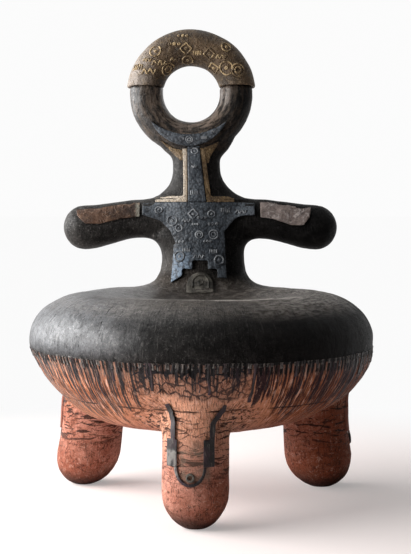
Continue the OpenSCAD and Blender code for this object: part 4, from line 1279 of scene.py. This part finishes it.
choice = signs.random(0, len(shapes) - 1, size["Seed"] + 5.0, "INT")
big = size["Half Width"] * signs.random(0.70, 1.20, size["Seed"] + 7.0)
set_out = signs.result("GeometryNodeInstanceOnPoints", None, {
    "Points": spots.outputs["Points"], "Instance": stock, "Pick Instance": True,
    "Instance Index": choice, "Rotation": spots.outputs["Rotation"], "Scale": big})
near = signs.node("GeometryNodeProximity", {"target_element": "FACES"}, {0: ground})
lying = signs.moved(signs.realized(set_out), Position=near.outputs["Position"])
signs.give(signs.result("GeometryNodeCurveToMesh", None, {
    "Curve": lying, "Profile Curve": signs.circle(size["Line"], 6), "Fill Caps": True}))

# %% [markdown]
# A sign may not hang over a slab's edge, so each slab first gets a face
# attribute that says which faces look forward and lie well inside its rim.

# %% Ornaments on the slabs and the sleeve
FACING = 0.55
EDGE_ON = 0.30


def mark_clear_faces(mesh, margin):
    centres = numbers_of(mesh.polygons, "center")
    facing = numbers_of(mesh.polygons, "normal")[:, 1]
    rim = centres[np.abs(facing) < EDGE_ON]
    search = KDTree(len(rim))
    for k, centre in enumerate(rim):
        search.insert(centre, k)
    search.balance()
    marks = np.array([bool(turned < -FACING) and search.find(centre)[2] > margin
                      for centre, turned in zip(centres, facing)])
    mesh.attributes.new("clear_of_edges", "BOOLEAN", "FACE").data.foreach_set("value", marks)


DECORATED = {
    "chest_slab": (0.0175, 0.0090, 0.0015, 0.0078, 3, WORN_SLATE),
    "neck_slab": (0.0140, 0.0074, 0.0013, 0.0066, 8, WORN_SLATE),
    "ring_crescent": (0.0140, 0.0056, 0.0012, 0.0052, 5, WORN_SLATE),
    "ring_sleeve": (0.0225, 0.0120, 0.0017, 0.0110, 12, WORN_BRONZE),
}
for node, (spacing, half_width, line, margin, seed, finish) in DECORATED.items():
    slab = slabs[node]
    name = node + "_ornaments"
    mark_clear_faces(slab.data, margin)
    mesh = made_by(signs, name, {
        "Spacing": spacing, "Half Width": half_width, "Line": line, "Seed": seed,
        "Finish": finish}, source=slab)
    slab.data.attributes.remove(slab.data.attributes["clear_of_edges"])
    smooth_shaded(mesh)
    placed(name, mesh, finish, LAID_ON[node][1])

# %% [markdown]
# The stage is a pale floor that fades into a white surround, so no horizon
# shows. The camera sees the floor a little brighter than it is, with the
# chair's shadows still on it. The light that bounces from it stays as it is. A
# mirror ray sees white only towards the back, where the backdrop is, so the
# chair's front reflects no white. A large window on the left gives most of the
# light. A small one behind it draws the seat's left edge, and a weak lamp above
# softens the shadows.

# %% Stage and light
FLOOR_HALF = 30.0
FLOOR_LIFT = 0.33
FLOOR_WHITE = 0.96
WORLD_WHITE = 0.97
WORLD_DIM = 0.08
LAMPS_AIM = Vector((0, 0, 0.35))


def camera_and_mirror_rays(tree):
    path = tree.node("ShaderNodeLightPath").outputs
    mirror = tree.math("MAXIMUM", path["Is Glossy Ray"], path["Is Transmission Ray"])
    return Value(tree, path["Is Camera Ray"]), mirror


def stage_floor():
    mesh = bpy.data.meshes.new("floor")
    corners = [(x * FLOOR_HALF, y * FLOOR_HALF, 0) for x, y in ((-1, -1), (1, -1), (1, 1), (-1, 1))]
    mesh.from_pydata(corners, [], [(0, 1, 2, 3)])
    floor = linked("floor", mesh)
    f = Finish("floor")
    f.fill(f.shader, {"Base Color": rgb(0.74, 0.665, 0.645), "Roughness": 0.9,
                      "Specular IOR Level": 0.0})
    by_camera, by_mirror = camera_and_mirror_rays(f)
    seen = f.math("MAXIMUM", by_camera, by_mirror * f.step(f.y, -0.9, -0.2))
    lift = f.result("ShaderNodeEmission", None,
                    {"Color": rgb(1.0, 0.96, 0.95), "Strength": by_camera * FLOOR_LIFT})
    lifted = f.result("ShaderNodeAddShader", None, {0: f.shader.outputs[0], 1: lift})
    glow = f.result("ShaderNodeEmission", None, {"Color": rgb(1, 1, 1), "Strength": FLOOR_WHITE})
    fade = f.step(f.polar(f.x, f.y)[1], 0.45, 1.2) * seen
    mixed = f.result("ShaderNodeMixShader", None, {0: fade, 1: lifted, 2: glow})
    f.links.new(mixed, f.nodes["Material Output"].inputs["Surface"])
    mesh.materials.append(f.material)


def surround():
    """Dim all round, and white where the camera or a mirror ray sees the backdrop."""
    world = bpy.data.worlds.new("surround")
    scene.world = world
    world.use_nodes = True
    w = Tree(world.node_tree)
    by_camera, by_mirror = camera_and_mirror_rays(w)
    backwards = w.split(w.node("ShaderNodeTexCoord").outputs["Generated"])[1]
    seen = w.math("MAXIMUM", by_camera, by_mirror * w.step(backwards, 0.05, 0.45))
    w.fill(w.nodes["Background"], {
        "Color": rgb(1.0, 1.0, 1.0), "Strength": WORLD_DIM + seen * (WORLD_WHITE - WORLD_DIM)})


def soft_lamp(name, place, size, power, colour=(1, 1, 1)):
    data = bpy.data.lights.new(name, "AREA")
    data.shape = "RECTANGLE"
    data.size, data.size_y = size
    data.energy = power
    data.color = colour
    lamp = bpy.data.objects.new(name, data)
    lamp.location = place
    lamp.rotation_euler = (LAMPS_AIM - lamp.location).to_track_quat("-Z", "Y").to_euler()
    scene.collection.objects.link(lamp)


stage_floor()
surround()
soft_lamp("window", (-2.3, -0.30, 1.20), (3.0, 1.8), 150, (1.0, 0.99, 0.98))
soft_lamp("side_window", (-1.9, 1.1, 0.9), (1.4, 1.4), 27, (0.97, 0.985, 1.0))
soft_lamp("sky", (-0.3, 0.2, 2.6), (1.6, 1.6), 12)
